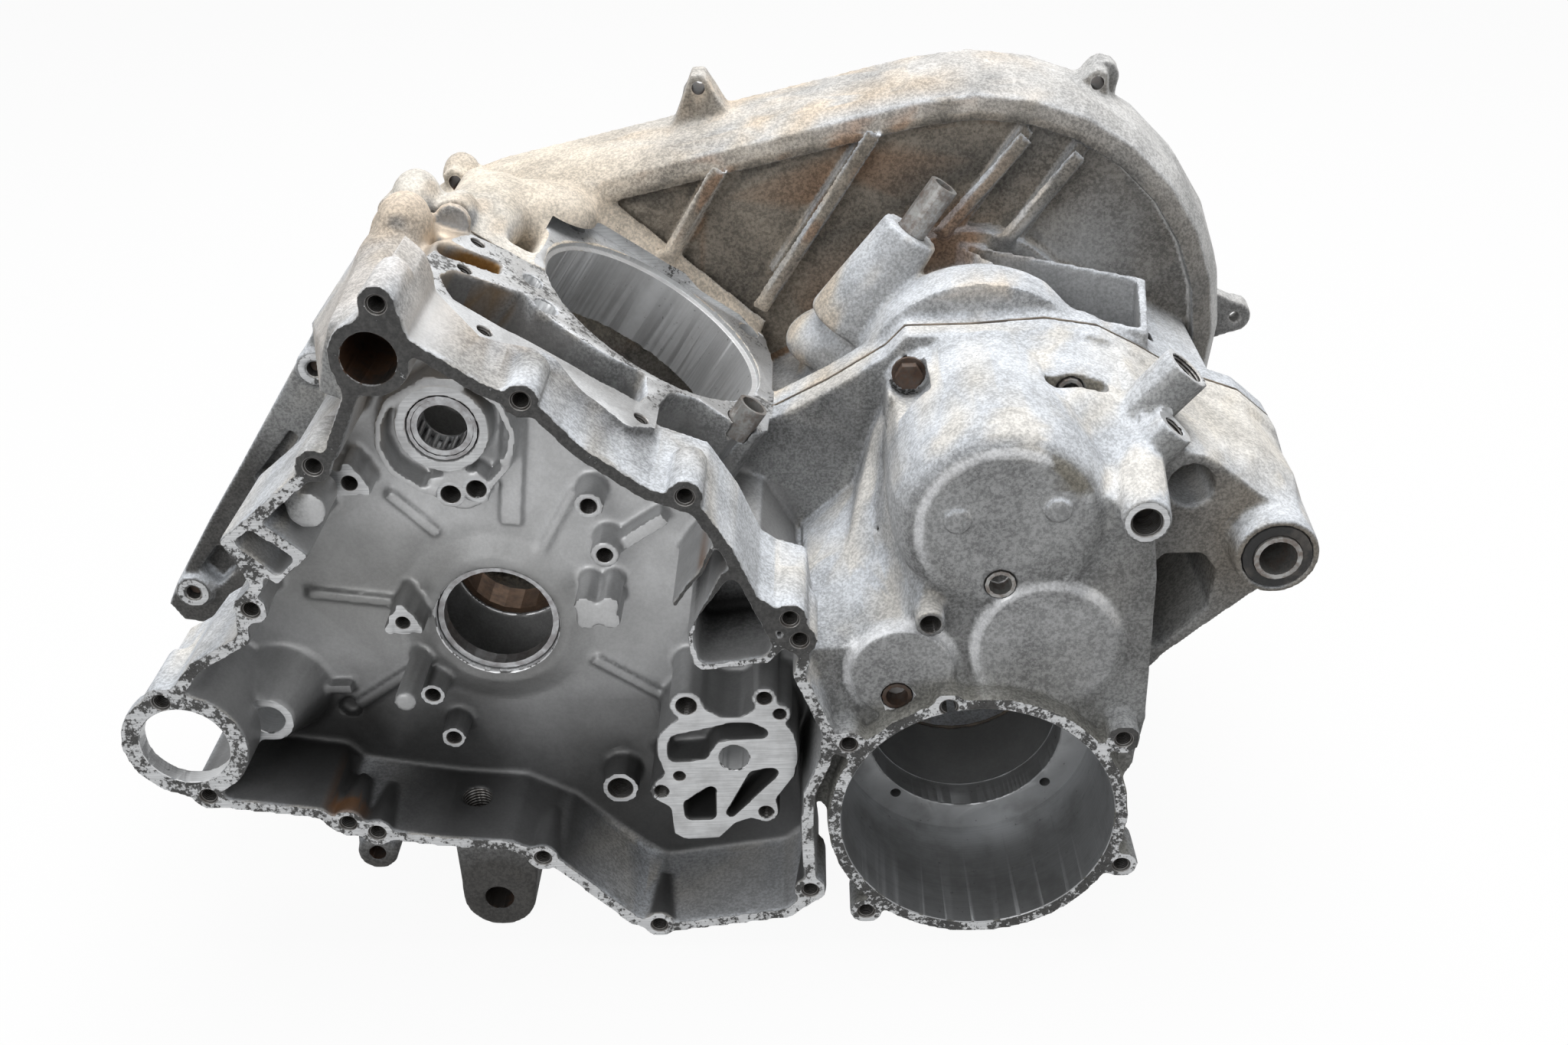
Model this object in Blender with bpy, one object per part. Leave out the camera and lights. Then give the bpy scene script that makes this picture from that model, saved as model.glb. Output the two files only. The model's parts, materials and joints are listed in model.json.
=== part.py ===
# Engine crankcase of a single-cylinder quad engine with a belt drive, in metres, +Z up.
# It stands on its lower mount lugs and its output housing, with the generator side at -Y.
# Everything is drawn in millimetres from the crank axis: x to the right, z up, y from the
# generator cover face towards the belt housing. The last step moves it onto the bench.

import math

import bmesh
import bpy
from mathutils import Matrix, Vector

MM = 0.001

# Walls, gaps and the gasket. PAST is how far a cutter runs past a face.
CASE_WALL = 5.5
CHAMBER_WALL = 7.0
GAP = 0.3
SEAT_GAP = 0.3
GASKET = 0.8
PAST = 1.0
OVERLAP = 2.0

# Stations along the crank axis, each counted from the one before it
CAVITY_DEPTH = 45.0
WEB_WALL = 6.0
SPLIT = 121.0
FLANGE = 13.0
BORE_BEHIND_SPLIT = 17.0
CRANK_ROOM = 70.0
BEARING_WALL = 17.0
BELT_WALL_BEHIND = 32.0
BELT_WALL = 5.0
BELT_DEPTH = 45.0
BELT_DISH = 9.0
WEB_BACK = CAVITY_DEPTH + WEB_WALL
FLANGE_FRONT = SPLIT - FLANGE
FAR_START = SPLIT + GAP + GASKET + GAP
BORE_STATION = SPLIT + BORE_BEHIND_SPLIT
CRANK_NEAR = BORE_STATION - CRANK_ROOM / 2
CRANK_FAR = BORE_STATION + CRANK_ROOM / 2
BEARING_FRONT = CRANK_NEAR - BEARING_WALL
BELT_WALL_FRONT = CRANK_FAR + BELT_WALL_BEHIND
BELT_FACE = BELT_WALL_FRONT + BELT_DEPTH
FAR_WALL_FRONT = BELT_WALL_FRONT - BELT_DISH

# Cylinder deck: it leans to the right by this angle from upright
DECK_LEAN = math.radians(34.74)
DECK_HEIGHT = 114.0
SPIGOT_RADIUS = 52.0
SPIGOT_DEPTH = 62.0
LIP_RADIUS = 54.2
LIP_DEPTH = 2.5
STUD_SPAN = (94.0, 97.0)
STUD_HOLE = 5.0
STUD_DEPTH = 34.0
DOWEL_OUTER = 6.6
DOWEL_INNER = 5.2
DOWEL_STANDS = 8.5
DOWEL_SUNK = 7.0

# Crank and balancer bores
CRANK_SEAT = 25.5
CRANK_RING_INNER = 22.8
CRANK_RING_LENGTH = 6.5
CRANK_BOSS = 31.0
CRANK_BOSS_RISE = 4.0
CRANK_DOME = 44.0
CRANK_FAR_BOSS = 39.5
BELT_SHAFT_BORE = 34.0
BUSH_WALL = 2.5
BUSH_BACK_LENGTH = 17.5
BUSH_INSET = 0.5
BALANCER = (-8.8, 94.0)
BALANCER_STATION = 32.0
BALANCER_BOSS = 18.5
BALANCER_FAR_BOSS = 21.6
NEEDLE_OUTER = 13.6
NEEDLE_INNER = 10.7
NEEDLE_WALL = 1.4
NEEDLE_LENGTH = 14.0

# Output housing: a bore, and a bearing seat with two bosses at its bottom
OUTPUT = (197.7, -76.4)
OUTPUT_BORE = 56.4
OUTPUT_WALL = 5.2
OUTPUT_RIM = 0.8
OUTPUT_RIM_DEPTH = 9.0
OUTPUT_DEPTH = 62.0
OUTPUT_SEAT = 43.0
OUTPUT_SEAT_DEPTH = 14.0
OUTPUT_BOLTS = [(184.8, -18.4), (255.2, -36.0), (259.0, -102.1), (151.3, -125.9)]
SEAT_BOSSES = [(235.0, -107.0), (167.0, -111.8)]
SEAT_BOSS_RADIUS = 5.2
SEAT_BOSS_RISE = 5.0

# Starter hole
STARTER = (-124.5, -30.7)
STARTER_BORE = 18.0
STARTER_LUG = 8.0
STARTER_RING = 4.0

# Threads, holes and the number of sides of round shapes
M6_CORE = 2.9
BOSS = 7.2
SMALL_SIDES = 8
BOSS_SIDES = 10
PIN_SIDES = 12
RING_SIDES = 18
INNER_SIDES = 20
BIG_SIDES = 28
ROUND_SIDES = 32

# Cover face outline, outer edge, clockwise from the oil bore at the top left
COVER_OUTLINE = [
    (-24.0, 154.0), (-16.6, 165.0), (-9.8, 158.0), (-7.0, 145.0), (17.0, 127.5),
    (36.5, 117.5), (49.6, 101.5), (72.0, 84.0), (91.5, 76.0), (102.8, 56.5),
    (111.0, 35.5), (117.0, 31.0), (129.5, 26.5), (131.0, 8.0), (128.7, -1.5),
    (139.5, -30.0), (137.5, -46.0), (131.0, -62.0), (129.6, -81.0), (130.2, -100.0),
    (131.5, -118.0), (119.0, -128.8), (103.4, -131.1), (61.6, -137.0), (49.1, -131.3),
    (20.0, -99.5), (1.0, -88.5), (-26.0, -86.0), (-48.0, -82.0), (-70.0, -77.5),
    (-77.0, -69.4), (-120.0, -62.5), (-138.2, -50.9), (-145.6, -37.0), (-145.0, -24.0),
    (-138.0, -9.0), (-123.0, -1.0), (-113.8, 10.0), (-93.0, 22.0), (-90.5, 36.0),
    (-83.0, 46.0), (-91.1, 65.1), (-77.0, 76.3), (-56.0, 93.5), (-44.7, 102.0),
    (-34.3, 123.8), (-37.5, 138.0),
]
COVER_BOLTS = [
    (-16.6, 158.2), (29.3, 120.2), (85.6, 79.6), (122.8, 24.9), (126.4, 15.0),
    (144.8, -36.1), (127.5, -113.4), (61.6, -131.9), (14.9, -92.9), (-64.6, -72.2),
    (-53.2, -77.6), (-120.2, -56.6), (-129.4, -8.7), (-84.8, 34.1), (-49.7, 95.6),
]
COVER_BOSS_DEPTH = 30.0
COVER_BOSS_TIP = 3.5
COVER_HOLE_DEPTH = 16.0
OIL_BORE = (-22.5, 137.8)
OIL_BORE_RADIUS = 10.0
OIL_BOSS_RADIUS = 15.0
PASSAGE_FLOOR = 6.0

# Split plane outline, clockwise from the left end of the deck
SPLIT_OUTLINE = [
    (15.6, 126.1), (-8.5, 142.6), (-20.0, 146.0), (-33.0, 150.0), (-43.0, 148.0),
    (-49.0, 138.0), (-67.0, 118.0), (-95.0, 78.0), (-120.0, 42.0), (-140.0, 14.0),
    (-162.0, -19.0), (-168.0, -30.0), (-163.0, -39.0), (-150.0, -42.0), (-112.0, -56.0),
    (-76.0, -74.0), (-20.0, -94.0), (22.0, -104.0), (61.6, -135.0), (103.0, -129.0),
    (131.0, -118.0), (160.0, -125.0), (205.0, -134.0), (238.0, -134.0), (247.0, -139.5),
    (257.0, -137.0), (258.0, -126.0), (252.0, -108.0), (262.0, -80.0),
    (264.0, -56.0), (270.0, -37.0), (280.0, -25.0), (298.0, -9.0), (321.0, 8.0),
    (336.0, 16.0), (338.5, 33.0), (333.0, 48.0), (318.0, 61.0), (294.0, 70.0),
    (273.0, 83.2), (255.0, 93.0), (232.6, 97.0), (200.0, 95.0), (182.0, 95.0), (173.0, 95.0),
    (165.0, 86.5), (140.0, 71.0), (114.4, 57.8),
]
CHAMBER_OUTLINE = [
    (98.0, 34.2), (-32.6, 124.9), (-44.0, 102.0), (-56.0, 93.0), (-76.0, 75.0), (-74.0, 40.0), (-80.0, 12.0),
    (-82.0, -20.0), (-70.0, -50.0), (-45.0, -76.0), (0.0, -88.0), (20.0, -98.0), (61.6, -135.0),
    (103.0, -129.0), (129.0, -117.0), (128.0, -80.0), (130.0, -45.0), (126.0, 0.0), (110.0, 30.0),
]
LEFT_WINDOWS = [
    [(-150.0, -12.0), (-138.2, 1.8), (-131.4, -11.1), (-142.9, -21.0)],
    [(-116.0, 34.0), (-107.0, 44.0), (-95.0, 58.0), (-92.0, 54.0), (-103.0, 40.0), (-111.0, 32.0)],
]
WINDOW_FLOOR = 4.0

# Gear housing: a plate that leans back with its height, then the outlines behind it
PLATE_STATION = 14.4
PLATE_LEAN = 0.06
PLATE_FRONT = [
    (131.0, -72.0), (131.0, -30.0), (131.0, 1.0), (152.0, 2.0), (168.0, 9.0), (180.0, 40.0), (215.0, 70.0),
    (248.0, 64.0), (262.0, 58.0), (266.0, 30.0), (266.0, 0.0), (266.0, -36.0), (262.0, -58.0), (240.0, -90.0),
    (150.0, -90.0),
]
PLATE_MIDDLE = [
    (128.0, -72.0), (128.0, -30.0), (128.0, 8.0), (146.0, 20.0), (158.0, 30.0), (165.0, 62.0), (205.0, 88.0),
    (240.0, 90.0), (262.0, 84.0), (270.0, 60.0), (270.0, 0.0), (268.0, -36.0), (262.0, -56.0), (240.0, -90.0),
    (150.0, -90.0),
]
PLATE_REAR = [
    (127.0, -72.0), (127.0, -30.0), (127.0, 6.0), (150.0, 26.0), (158.0, 52.0), (170.0, 84.0), (200.0, 95.0),
    (238.0, 95.0), (264.0, 86.0), (272.0, 60.0), (272.0, 0.0), (268.0, -36.0), (262.0, -56.0), (240.0, -90.0),
    (150.0, -90.0),
]
PLATE_MIDDLE_STATION = 62.0
PLATE_REAR_STATION = SPLIT - 21.0
ROOM_FRONT = [
    (137.0, -66.0), (137.0, -5.0), (152.0, -3.0), (167.0, 6.0), (182.0, 38.0), (212.0, 65.0), (242.0, 62.0),
    (256.0, 54.0), (259.0, 30.0), (259.0, 0.0), (259.0, -34.0), (255.0, -54.0), (236.0, -83.0), (152.0, -83.0),
]
ROOM_BACK = [
    (137.0, -66.0), (137.0, 0.0), (143.0, 10.0), (155.0, 20.0), (172.0, 58.0), (206.0, 80.0), (240.0, 82.0),
    (254.0, 77.0), (262.0, 55.0), (262.0, 0.0), (261.0, -34.0), (255.0, -54.0), (236.0, -83.0), (152.0, -83.0),
]
ROOM_STATIONS = (24.0, 60.0)

# The arm to the rear mount, front and back, and its two pockets
ARM_FRONT = [
    (262.0, -44.0), (262.0, 82.0), (274.0, 73.5), (289.0, 69.0), (299.0, 61.0), (310.0, 51.5), (326.0, 45.0),
    (332.0, 33.0), (329.0, 18.0), (317.0, 10.0), (296.0, -8.0), (278.0, -24.0), (268.0, -37.0),
]
ARM_BACK = [
    (262.0, -50.0), (262.0, 88.0), (274.0, 80.0), (294.0, 68.0), (305.0, 63.5), (317.0, 59.0), (331.0, 46.0),
    (336.0, 33.0), (333.0, 16.0), (319.0, 9.0), (296.0, -8.0), (278.0, -24.0), (268.0, -36.0),
]
ARM_STATIONS = (42.0, 70.0)
ARM_ROUND_POCKET = (282.4, 56.6)
ARM_POCKET_RADIUS = 9.5
ARM_SLOT = [
    (269.5, 19.0), (274.0, 25.0), (290.0, 25.0), (296.0, 17.0), (294.0, 0.0), (286.0, -10.0), (276.0, -19.5),
    (269.5, -20.5),
]
ARM_POCKET_BACK = SPLIT - 21.0

# The round shoulder and the discs on the plate: centre, radius and front station
SHOULDER_CENTRE = (206.5, 52.9)
SHOULDER = [(33.0, 14.0), (36.5, 16.0), (40.0, 20.0), (42.5, 26.0), (44.0, 34.0), (44.5, 60.0), (44.5, FLANGE_FRONT)]
PLATE_DISCS = [((167.0, -9.1), 21.0, 9.6), ((224.7, 0.2), 28.3, 12.5)]
DISC_BUMPS = [(187.6, 59.5), (225.6, 63.5)]
BUMP_RADIUS = 5.2
BUMP_FRONT = 11.0
BUSH_SEATS = [((205.0, 29.7), 14.0), ((164.7, -19.5), 9.6)]
BUSH_SEAT = 6.4
BUSH_SEAT_DEPTH = 9.0
PLATE_BOSS = (177.2, 19.0)
PLATE_BOSS_RADIUS = 6.2
PLATE_BOSS_FRONT = 3.0
PLATE_BOSS_HOLE = 3.8
COLUMN = [((258.4, 59.6), 9.8, 8.0), ((259.4, 67.0), 10.0, 30.0), ((261.0, 71.0), 10.2, 50.0)]
COLUMN_HOLE = 5.4
COLUMN_HOLE_DEPTH = 14.0
SPOUT_LEAN = Vector((0.64, -0.06, 0.77)).normalized()
SPOUTS = [
    ((262.0, 64.0, 76.0), (281.6, 98.6), 10.7, 7.4),
    ((262.0, 45.0, 68.0), (273.9, 82.8), 9.0, 4.6),
]
SPOUT_THREAD = 16.0
SPOUT_PLUG = (272.3, 74.2)
SPOUT_PLUG_RADIUS = 4.3
SPOUT_PLUG_FRONT = 39.0

# Rear mount lug with a sleeve in rubber
RIGHT_LUG = (316.0, 30.5)
LUG_FRONT = 29.0
LUG_RADIUS = 16.6
LUG_END_RADIUS = 22.0
LUG_BORE = 14.0
LUG_SLEEVE = 9.6
LUG_SLEEVE_BORE = 7.6
LUG_DEPTH = 56.0

# Generator room: bosses as centre, radius, front station and hole radius
CAVITY_BOSSES = [
    ((45.0, 61.0), 6.2, 28.0, 3.1),
    ((49.3, 38.0), 6.2, 29.0, 3.1),
    ((-29.0, -29.0), 5.6, 30.0, 2.9),
    ((-23.0, -51.5), 5.6, 30.0, 2.9),
    ((-47.5, 72.6), 6.5, 30.0, 2.9),
    ((-35.0, 10.0), 6.5, 26.0, 2.6),
    ((-9.4, 65.0), 5.0, 33.0, 3.6),
    ((1.0, 67.0), 5.0, 33.0, 3.6),
    ((45.8, -80.5), 8.4, 30.0, 5.2),
]
EARED_BOSSES = [(-47.5, 72.6, 30.0), (-35.0, 10.0, 26.0)]
EAR_STEP = 6.5
SMALL_EAR = 2.8
BALANCER_RIM = [
    (-28.0, 106.0), (-33.0, 97.0), (-34.7, 87.0), (-31.0, 76.0), (-20.5, 67.7), (-8.0, 64.0), (6.0, 68.0),
    (15.0, 78.0), (18.0, 91.0), (14.0, 104.0), (4.0, 113.0), (-12.0, 115.0),
]
RIM_WIDTH = 3.0
KIDNEY = [
    (-18.1, 72.0), (-13.5, 73.0), (-5.9, 74.0), (2.2, 75.0), (7.2, 69.0), (5.0, 61.0), (-3.8, 57.4), (-14.0, 60.0),
]
KIDNEY_FRONT = 33.0
WEB_RIBS = [
    ((17.5, 94.0), (10.3, 45.0), 9.0, 42.0), ((-37.2, 61.0), (-19.4, 41.4), 5.0, 42.0),
    ((-77.9, 14.8), (-40.0, 9.0), 5.0, 42.0), ((-66.0, -42.7), (-38.0, -24.0), 5.0, 42.0),
    ((38.0, -21.0), (70.0, -43.4), 5.0, 42.0), ((50.0, 35.0), (73.7, 50.4), 6.0, 36.0),
    ((37.7, 60.2), (20.0, 30.0), 3.0, 43.0), ((-90.0, -33.0), (-66.0, -32.0), 5.0, 40.0),
]
WEB_HOLE = (-70.0, -45.0)
WEB_HOLE_RADIUS = 5.0
WEB_HOLE_DEPTH = 4.0
PASSAGE_LUMP = (-58.5, 73.0)
PASSAGE_LUMP_RADIUS = 8.0
PASSAGE_LUMP_FRONT = 8.0
IDLER_BOSS = (-96.3, -33.0)
IDLER_FRONT = 20.0
IDLER_RADIUS = 10.6
IDLER_BORE = 6.5
IDLER_FOOT = 22.0
OVAL_PEG = (-34.5, -17.5)
PEG_FRONT = 9.0
PEG_RADIUS = 4.8
SMALL_PIN = (13.0, 80.0)
PIN_FRONT = 31.0
PIN_RADIUS = 1.7
CLOVER = (45.2, 15.0)
CLOVER_FRONT = 22.0
CLOVER_LOBE = 4.4
CLOVER_REACH = 7.0
DRAIN = (-16.4, 28.0)
DRAIN_RADIUS = 6.2
DRAIN_TOP = -70.0
DRAIN_BOTTOM = -100.0

# Oil pump housing: a skirt with a shaft hole, two curved slots, a window and bolt lobes
PUMP_FRONT = 12.0
PUMP_CENTRE = (97.4, -51.0)
PUMP_SHAFT = 6.2
PUMP_SHAFT_DEPTH = 26.0
PUMP_DEPTH = 14.0
PUMP_OUTLINE = [
    (72.2, -32.1), (66.2, -38.8), (64.8, -48.1), (67.6, -58.8), (62.6, -63.4), (61.5, -71.8), (68.8, -76.9),
    (69.7, -91.7), (74.8, -94.9), (89.8, -94.0), (96.5, -86.1), (103.3, -83.8), (109.9, -86.4), (115.3, -80.4),
    (114.6, -73.1), (122.5, -61.2), (124.7, -50.7), (123.1, -39.0), (119.1, -33.2), (113.9, -26.3),
    (106.6, -26.1), (100.9, -29.9), (93.5, -29.8), (86.9, -25.6),
]
PUMP_SLOTS = [
    [(70.0, -47.0), (71.7, -39.6), (89.6, -35.4), (97.1, -33.3), (106.2, -34.0), (111.6, -37.6), (111.1, -40.5),
     (91.1, -41.7), (87.0, -47.5), (86.0, -51.0), (70.6, -52.3)],
    [(92.6, -81.0), (104.3, -58.4), (114.7, -56.9), (115.0, -59.9), (106.7, -69.2), (94.6, -82.6)],
]
PUMP_WINDOW = [(75.0, -74.6), (85.1, -67.0), (88.6, -66.0), (88.0, -82.9), (76.0, -83.2)]
PUMP_WINDOW_DEPTH = 26.0
PUMP_LOBES = [
    ((79.0, -24.0), 7.4, 4.1), ((111.0, -21.0), 5.6, 3.0), ((117.0, -29.0), 5.2, 2.5),
    ((74.0, -60.0), 5.0, 2.3), ((66.0, -68.0), 5.2, 2.9), ((109.6, -80.0), 6.0, 2.9),
]
PUMP_LOBE_DEPTH = 18.0

# Passages beside the generator room and the thin baffle next to them
TRIANGLE = [
    (82.5, 18.5), (84.0, 5.0), (87.5, 1.5), (114.0, 4.5), (119.0, 10.0), (119.0, 14.0), (104.0, 50.0), (97.0, 46.0),
]
TRIANGLE_HOLE = [
    (85.4, 18.0), (86.5, 7.4), (89.0, 4.8), (112.5, 7.8), (115.5, 12.5), (103.5, 42.0), (100.0, 43.5), (87.4, 26.5),
]
RECTANGLE = [(-91.1, 65.1), (-77.0, 76.3), (-57.6, 57.8), (-72.5, 45.0)]
RECTANGLE_HOLE = [(-84.9, 64.2), (-78.6, 69.8), (-63.4, 56.6), (-71.1, 49.0)]
BAFFLE = [(94.4, 57.0), (89.3, 46.1), (84.3, 40.7), (78.1, 31.5)]
BAFFLE_WIDTH = 2.2

# Lower mounts
LOWER_LUG = (-10.0, -128.0)
LOWER_LUG_RADIUS = 16.0
LOWER_LUG_HOLE = 6.2
LOWER_LUG_FRONT = 14.0
LOWER_LUG_WIDTH = 34.0
LOWER_LUG_WEB = [(-26.0, -79.0), (-26.0, -128.0), (6.0, -128.0), (14.0, -79.0)]
LOWER_LUG_BACK = (BELT_WALL_FRONT - 33.0, BELT_WALL_FRONT - 7.0)
SMALL_LUG = (-60.0, -101.0)
SMALL_LUG_RADIUS = 9.0
SMALL_LUG_HOLE = 3.6
SMALL_LUG_STATIONS = (14.0, 40.0)
SMALL_LUG_WEB = [(-70.0, -70.0), (-68.0, -103.0), (-53.0, -105.0), (-40.0, -78.0)]

# Deck outlines and openings, as (across, behind the bore centre)
NEAR_DECK = [
    (-98.0, -78.0), (-98.0, -44.0), (-92.8, -33.0), (-86.0, -23.0), (-70.0, -17.0), (61.5, -17.0),
    (60.5, -43.0), (55.0, -53.0), (41.5, -55.0), (25.0, -53.0), (13.0, -60.0), (9.2, -75.5),
    (9.1, -98.0), (-2.0, -109.0), (-20.8, -102.0), (-43.6, -93.5), (-58.8, -101.0),
    (-66.6, -106.0), (-88.0, -92.0),
]
NEAR_DECK_THICK = 34.0
FAR_DECK = [
    (-58.9, -15.6), (-58.9, 49.0), (-54.4, 61.0), (-36.3, 62.0), (-18.8, 61.0), (40.6, 58.0),
    (55.9, 53.0), (61.0, 30.0), (61.5, -15.6),
]
FAR_DECK_THICK = 40.0
CHAIN_TUNNEL = [
    (-89.0, -74.0), (-85.5, -63.5), (-75.5, -58.5), (-56.5, -48.5), (-47.5, -56.0), (-33.4, -60.0),
    (-15.4, -60.5), (0.5, -57.0), (2.4, -74.0), (0.6, -83.2), (-17.8, -84.5), (-60.0, -87.0),
    (-81.8, -87.0),
]
TUNNEL_DEPTH = 60.0
OIL_SLOT = [(-95.5, -50.0), (-94.1, -43.5), (-70.0, -33.0), (-69.3, -44.0), (-93.0, -56.0)]
OIL_SLOT_DEPTH = 26.0
DECK_HOLES = [((-82.2, -57.1), 2.6), ((-82.2, -27.1), 2.6), ((-65.5, -97.5), 2.6), ((2.6, -96.0), 2.6)]
DECK_HOLE_DEPTH = 22.0
DECK_OVAL = (-55.6, -32.5)
DECK_OVAL_RADIUS = 4.4
DECK_OVAL_DEPTH = 30.0

# Bolts that hold the halves together, the dowels between them and the sleeves in the gear housing
CASE_BOLTS = [(-153.6, -22.0), (-78.0, 88.3), (-104.0, -44.0), (-62.0, -72.0), (136.0, -121.0), (326.0, 30.0)]
CASE_BOSS = 8.6
CASE_BOSS_DEPTH = 17.0
FREE_BOSS = (249.6, -130.7)
BOLT_SHANK = 3.0
BOLT_SIDES = 8
BOLT_HEAD = 5.8
BOLT_FLANGE = 7.2
BOLT_WASHER = 1.6
BOLT_HEAD_HEIGHT = 6.0
BOLT_GAP = 0.35
TOP_BOLT = (173.5, 83.5)
TOP_BOLT_SEAT = SPLIT - 23.0
TOP_BOLT_TIP = SPLIT + 24.0
TOP_BOLT_RECESS = 28.0
TOP_BOLT_BLOCK_DEPTH = 14.0
TOP_BOLT_BLOCK = [(163.0, 66.0), (164.0, 78.0), (170.0, 86.0), (180.0, 90.0), (186.0, 90.0), (186.0, 66.0)]
CASE_DOWEL = 5.2
CASE_DOWEL_WALL = 1.2
CASE_DOWEL_REACH = 5.0
PAD_HOLE = (237.5, 84.4)
PAD_FRONT = 74.0
PAD_SEAT = 5.6
PAD_SLEEVE_WALL = 1.4
PAD_DEPTH = 13.0
PAD_RECESS = 8.0
PAD_LENS = [(-15.5, 0.5), (-8.0, -5.0), (0.0, -7.5), (8.0, -5.0), (15.5, 0.5), (8.0, 12.0), (-8.0, 12.0)]
PAD_BLOCK = [(221.0, 70.0), (221.0, 89.0), (253.0, 86.0), (253.0, 70.0)]

# Lumps at the top left of both halves: centre, radius and stations
NEAR_LUMPS = [((-38.0, 148.0), 8.0, FLANGE_FRONT - 2.0, SPLIT - 1.0), ((-14.0, 147.0), 8.0, SPLIT - 5.0, SPLIT - 0.5)]
TOP_LUMPS = [
    ((-38.0, 149.0), 8.5, FAR_START + 0.6, SPLIT + 31.0), ((-14.0, 147.0), 8.5, FAR_START + 1.0, SPLIT + 24.0),
    ((-18.0, 134.0), 12.0, FAR_START + 1.6, SPLIT + 84.0),
]
LUMP_TAPER = 2.0

# Belt housing: a belt-shaped outline round two pulley centres
DRIVE_CENTRE = (12.0, 10.0)
DRIVE_RADIUS = 127.3
DRIVEN_CENTRE = (208.0, 54.0)
DRIVEN_RADIUS = 126.0
BELT_RIM = 5.0
BELT_SHOULDER = 16.0
RIM_STRAIGHT = 16.0
EAR_RADIUS = 8.0
EAR_HOLE = 3.0
EAR_DEPTH = 12.0
EAR_REACH = 17.0
EAR_ROOT = 30.0
RIM_EARS = [("drive", 112.0, 1.0), ("driven", 60.8, 4.0), ("driven", -3.7, 12.3), ("straight", 0.51, 7.0)]
RIB_RISE = 6.0
RIB_WIDTH = 7.0
BELT_RIBS = [
    ((66.6, 97.0), (93.6, 143.0)), ((116.8, 88.8), (165.0, 160.0)), ((198.9, 106.7), (232.6, 155.5)),
    ((228.4, 103.3), (257.6, 147.0)),
]
DRIVEN_SHAFT = (214.0, 56.0)
DRIVEN_SEAT = 31.0
DRIVEN_BOSS = 40.0
DRIVEN_THROAT = 26.0
DRIVEN_RACE_INNER = 26.5
ARCH_CENTRE = (206.0, 54.0)
ARCH_RADIUS = 56.0
OUTPUT_FOOT = (197.7, -80.0)
OUTPUT_FOOT_RADIUS = 64.0
OUTPUT_FOOT_DEPTH = 68.0
OUTPUT_FOOT_WALL = 7.0
FAR_BODY = [
    (98.0, 34.2), (-2.0, 103.0), (-20.0, 120.0), (-60.0, 105.0), (-80.0, 60.0), (-84.0, 10.0), (-76.0, -40.0),
    (-45.0, -76.0), (0.0, -90.0), (30.0, -104.0), (61.6, -125.0), (103.0, -125.0), (150.0, -100.0),
    (240.0, -90.0), (262.0, -56.0), (268.0, -36.0), (278.0, -24.0), (296.0, -8.0), (312.0, 20.0), (312.0, 58.0),
    (294.0, 68.0), (256.0, 88.0), (200.0, 92.0), (166.0, 78.0), (130.0, 50.0),
]

# Breather tube and the three-cornered filler box on the far half
TUBE_SEAT = (178.3, SPLIT + 44.0, 121.0)
TUBE_BOSS = 13.5
TUBE_FOOT = 17.5
TUBE_FOOT_DEPTH = 52.0
TUBE_RADIUS = 6.7
TUBE_BORE = 4.6
TUBE_SUNK = 17.0
TUBE_STANDS = 25.0
FILLER = [
    (203.0, SPLIT + 72.0, 105.0), (281.0, SPLIT + 50.0, 93.0), (275.0, SPLIT + 6.0, 88.0), (255.0, SPLIT + 12.0, 91.0),
]
FILLER_WALL = 5.0
FILLER_DEPTH = 40.0
FILLER_FLOOR = 5.0
FILLER_PAST = 3.0

# Bench: height of the crank axis above the rest plane
CRANK_HEIGHT = 144.0
PLACE = (-93.5, -125.0)

materials = {}


def shade(name, colour, roughness, metallic):
    """A Principled material, made once and shared by name."""
    if name not in materials:
        material = bpy.data.materials.new(name)
        material.use_nodes = True
        shader = material.node_tree.nodes["Principled BSDF"]
        shader.inputs["Base Color"].default_value = (*colour, 1.0)
        shader.inputs["Roughness"].default_value = roughness
        shader.inputs["Metallic"].default_value = metallic
        material.diffuse_color = (*colour, 1.0)
        materials[name] = material
    return materials[name]


def clear_scene():
    for item in list(bpy.data.objects):
        bpy.data.objects.remove(item)


# Frames of the tilted deck

UP = Vector((math.sin(DECK_LEAN), 0.0, math.cos(DECK_LEAN)))
ACROSS = Vector((math.cos(DECK_LEAN), 0.0, -math.sin(DECK_LEAN)))
BACK = Vector((0.0, 1.0, 0.0))


def deck_point(across, behind, above=0.0):
    """A point near the deck: across it, behind the bore centre, above its face."""
    return UP * (DECK_HEIGHT + above) + ACROSS * across + BACK * (BORE_STATION + behind)


# Meshes

def mesh_of(vertices, faces):
    mesh = bpy.data.meshes.new("shape")
    mesh.from_pydata([Vector(v) * MM for v in vertices], [], faces)
    work = bmesh.new()
    work.from_mesh(mesh)
    bmesh.ops.recalc_face_normals(work, faces=work.faces)
    if work.calc_volume(signed=True) < 0:
        bmesh.ops.reverse_faces(work, faces=work.faces)
    work.to_mesh(mesh)
    work.free()
    return mesh


def loft(sections):
    """A closed solid through rings of points that all have the same count."""
    count = len(sections[0])
    vertices = [point for ring in sections for point in ring]
    faces = [list(range(count)), list(range(len(vertices) - count, len(vertices)))]
    for level in range(len(sections) - 1):
        low = level * count
        for i in range(count):
            j = (i + 1) % count
            faces.append([low + i, low + j, low + count + j, low + count + i])
    return mesh_of(vertices, faces)


def prism(outline, near, far):
    """An outline in x and z, extruded along the crank axis."""
    return loft([[(x, y, z) for x, z in outline] for y in (near, far)])


def deck_prism(outline, low, high):
    """An outline in deck coordinates (across, behind), extruded along the cylinder axis."""
    return loft([[deck_point(a, b, h) for a, b in outline] for h in (low, high)])


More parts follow.
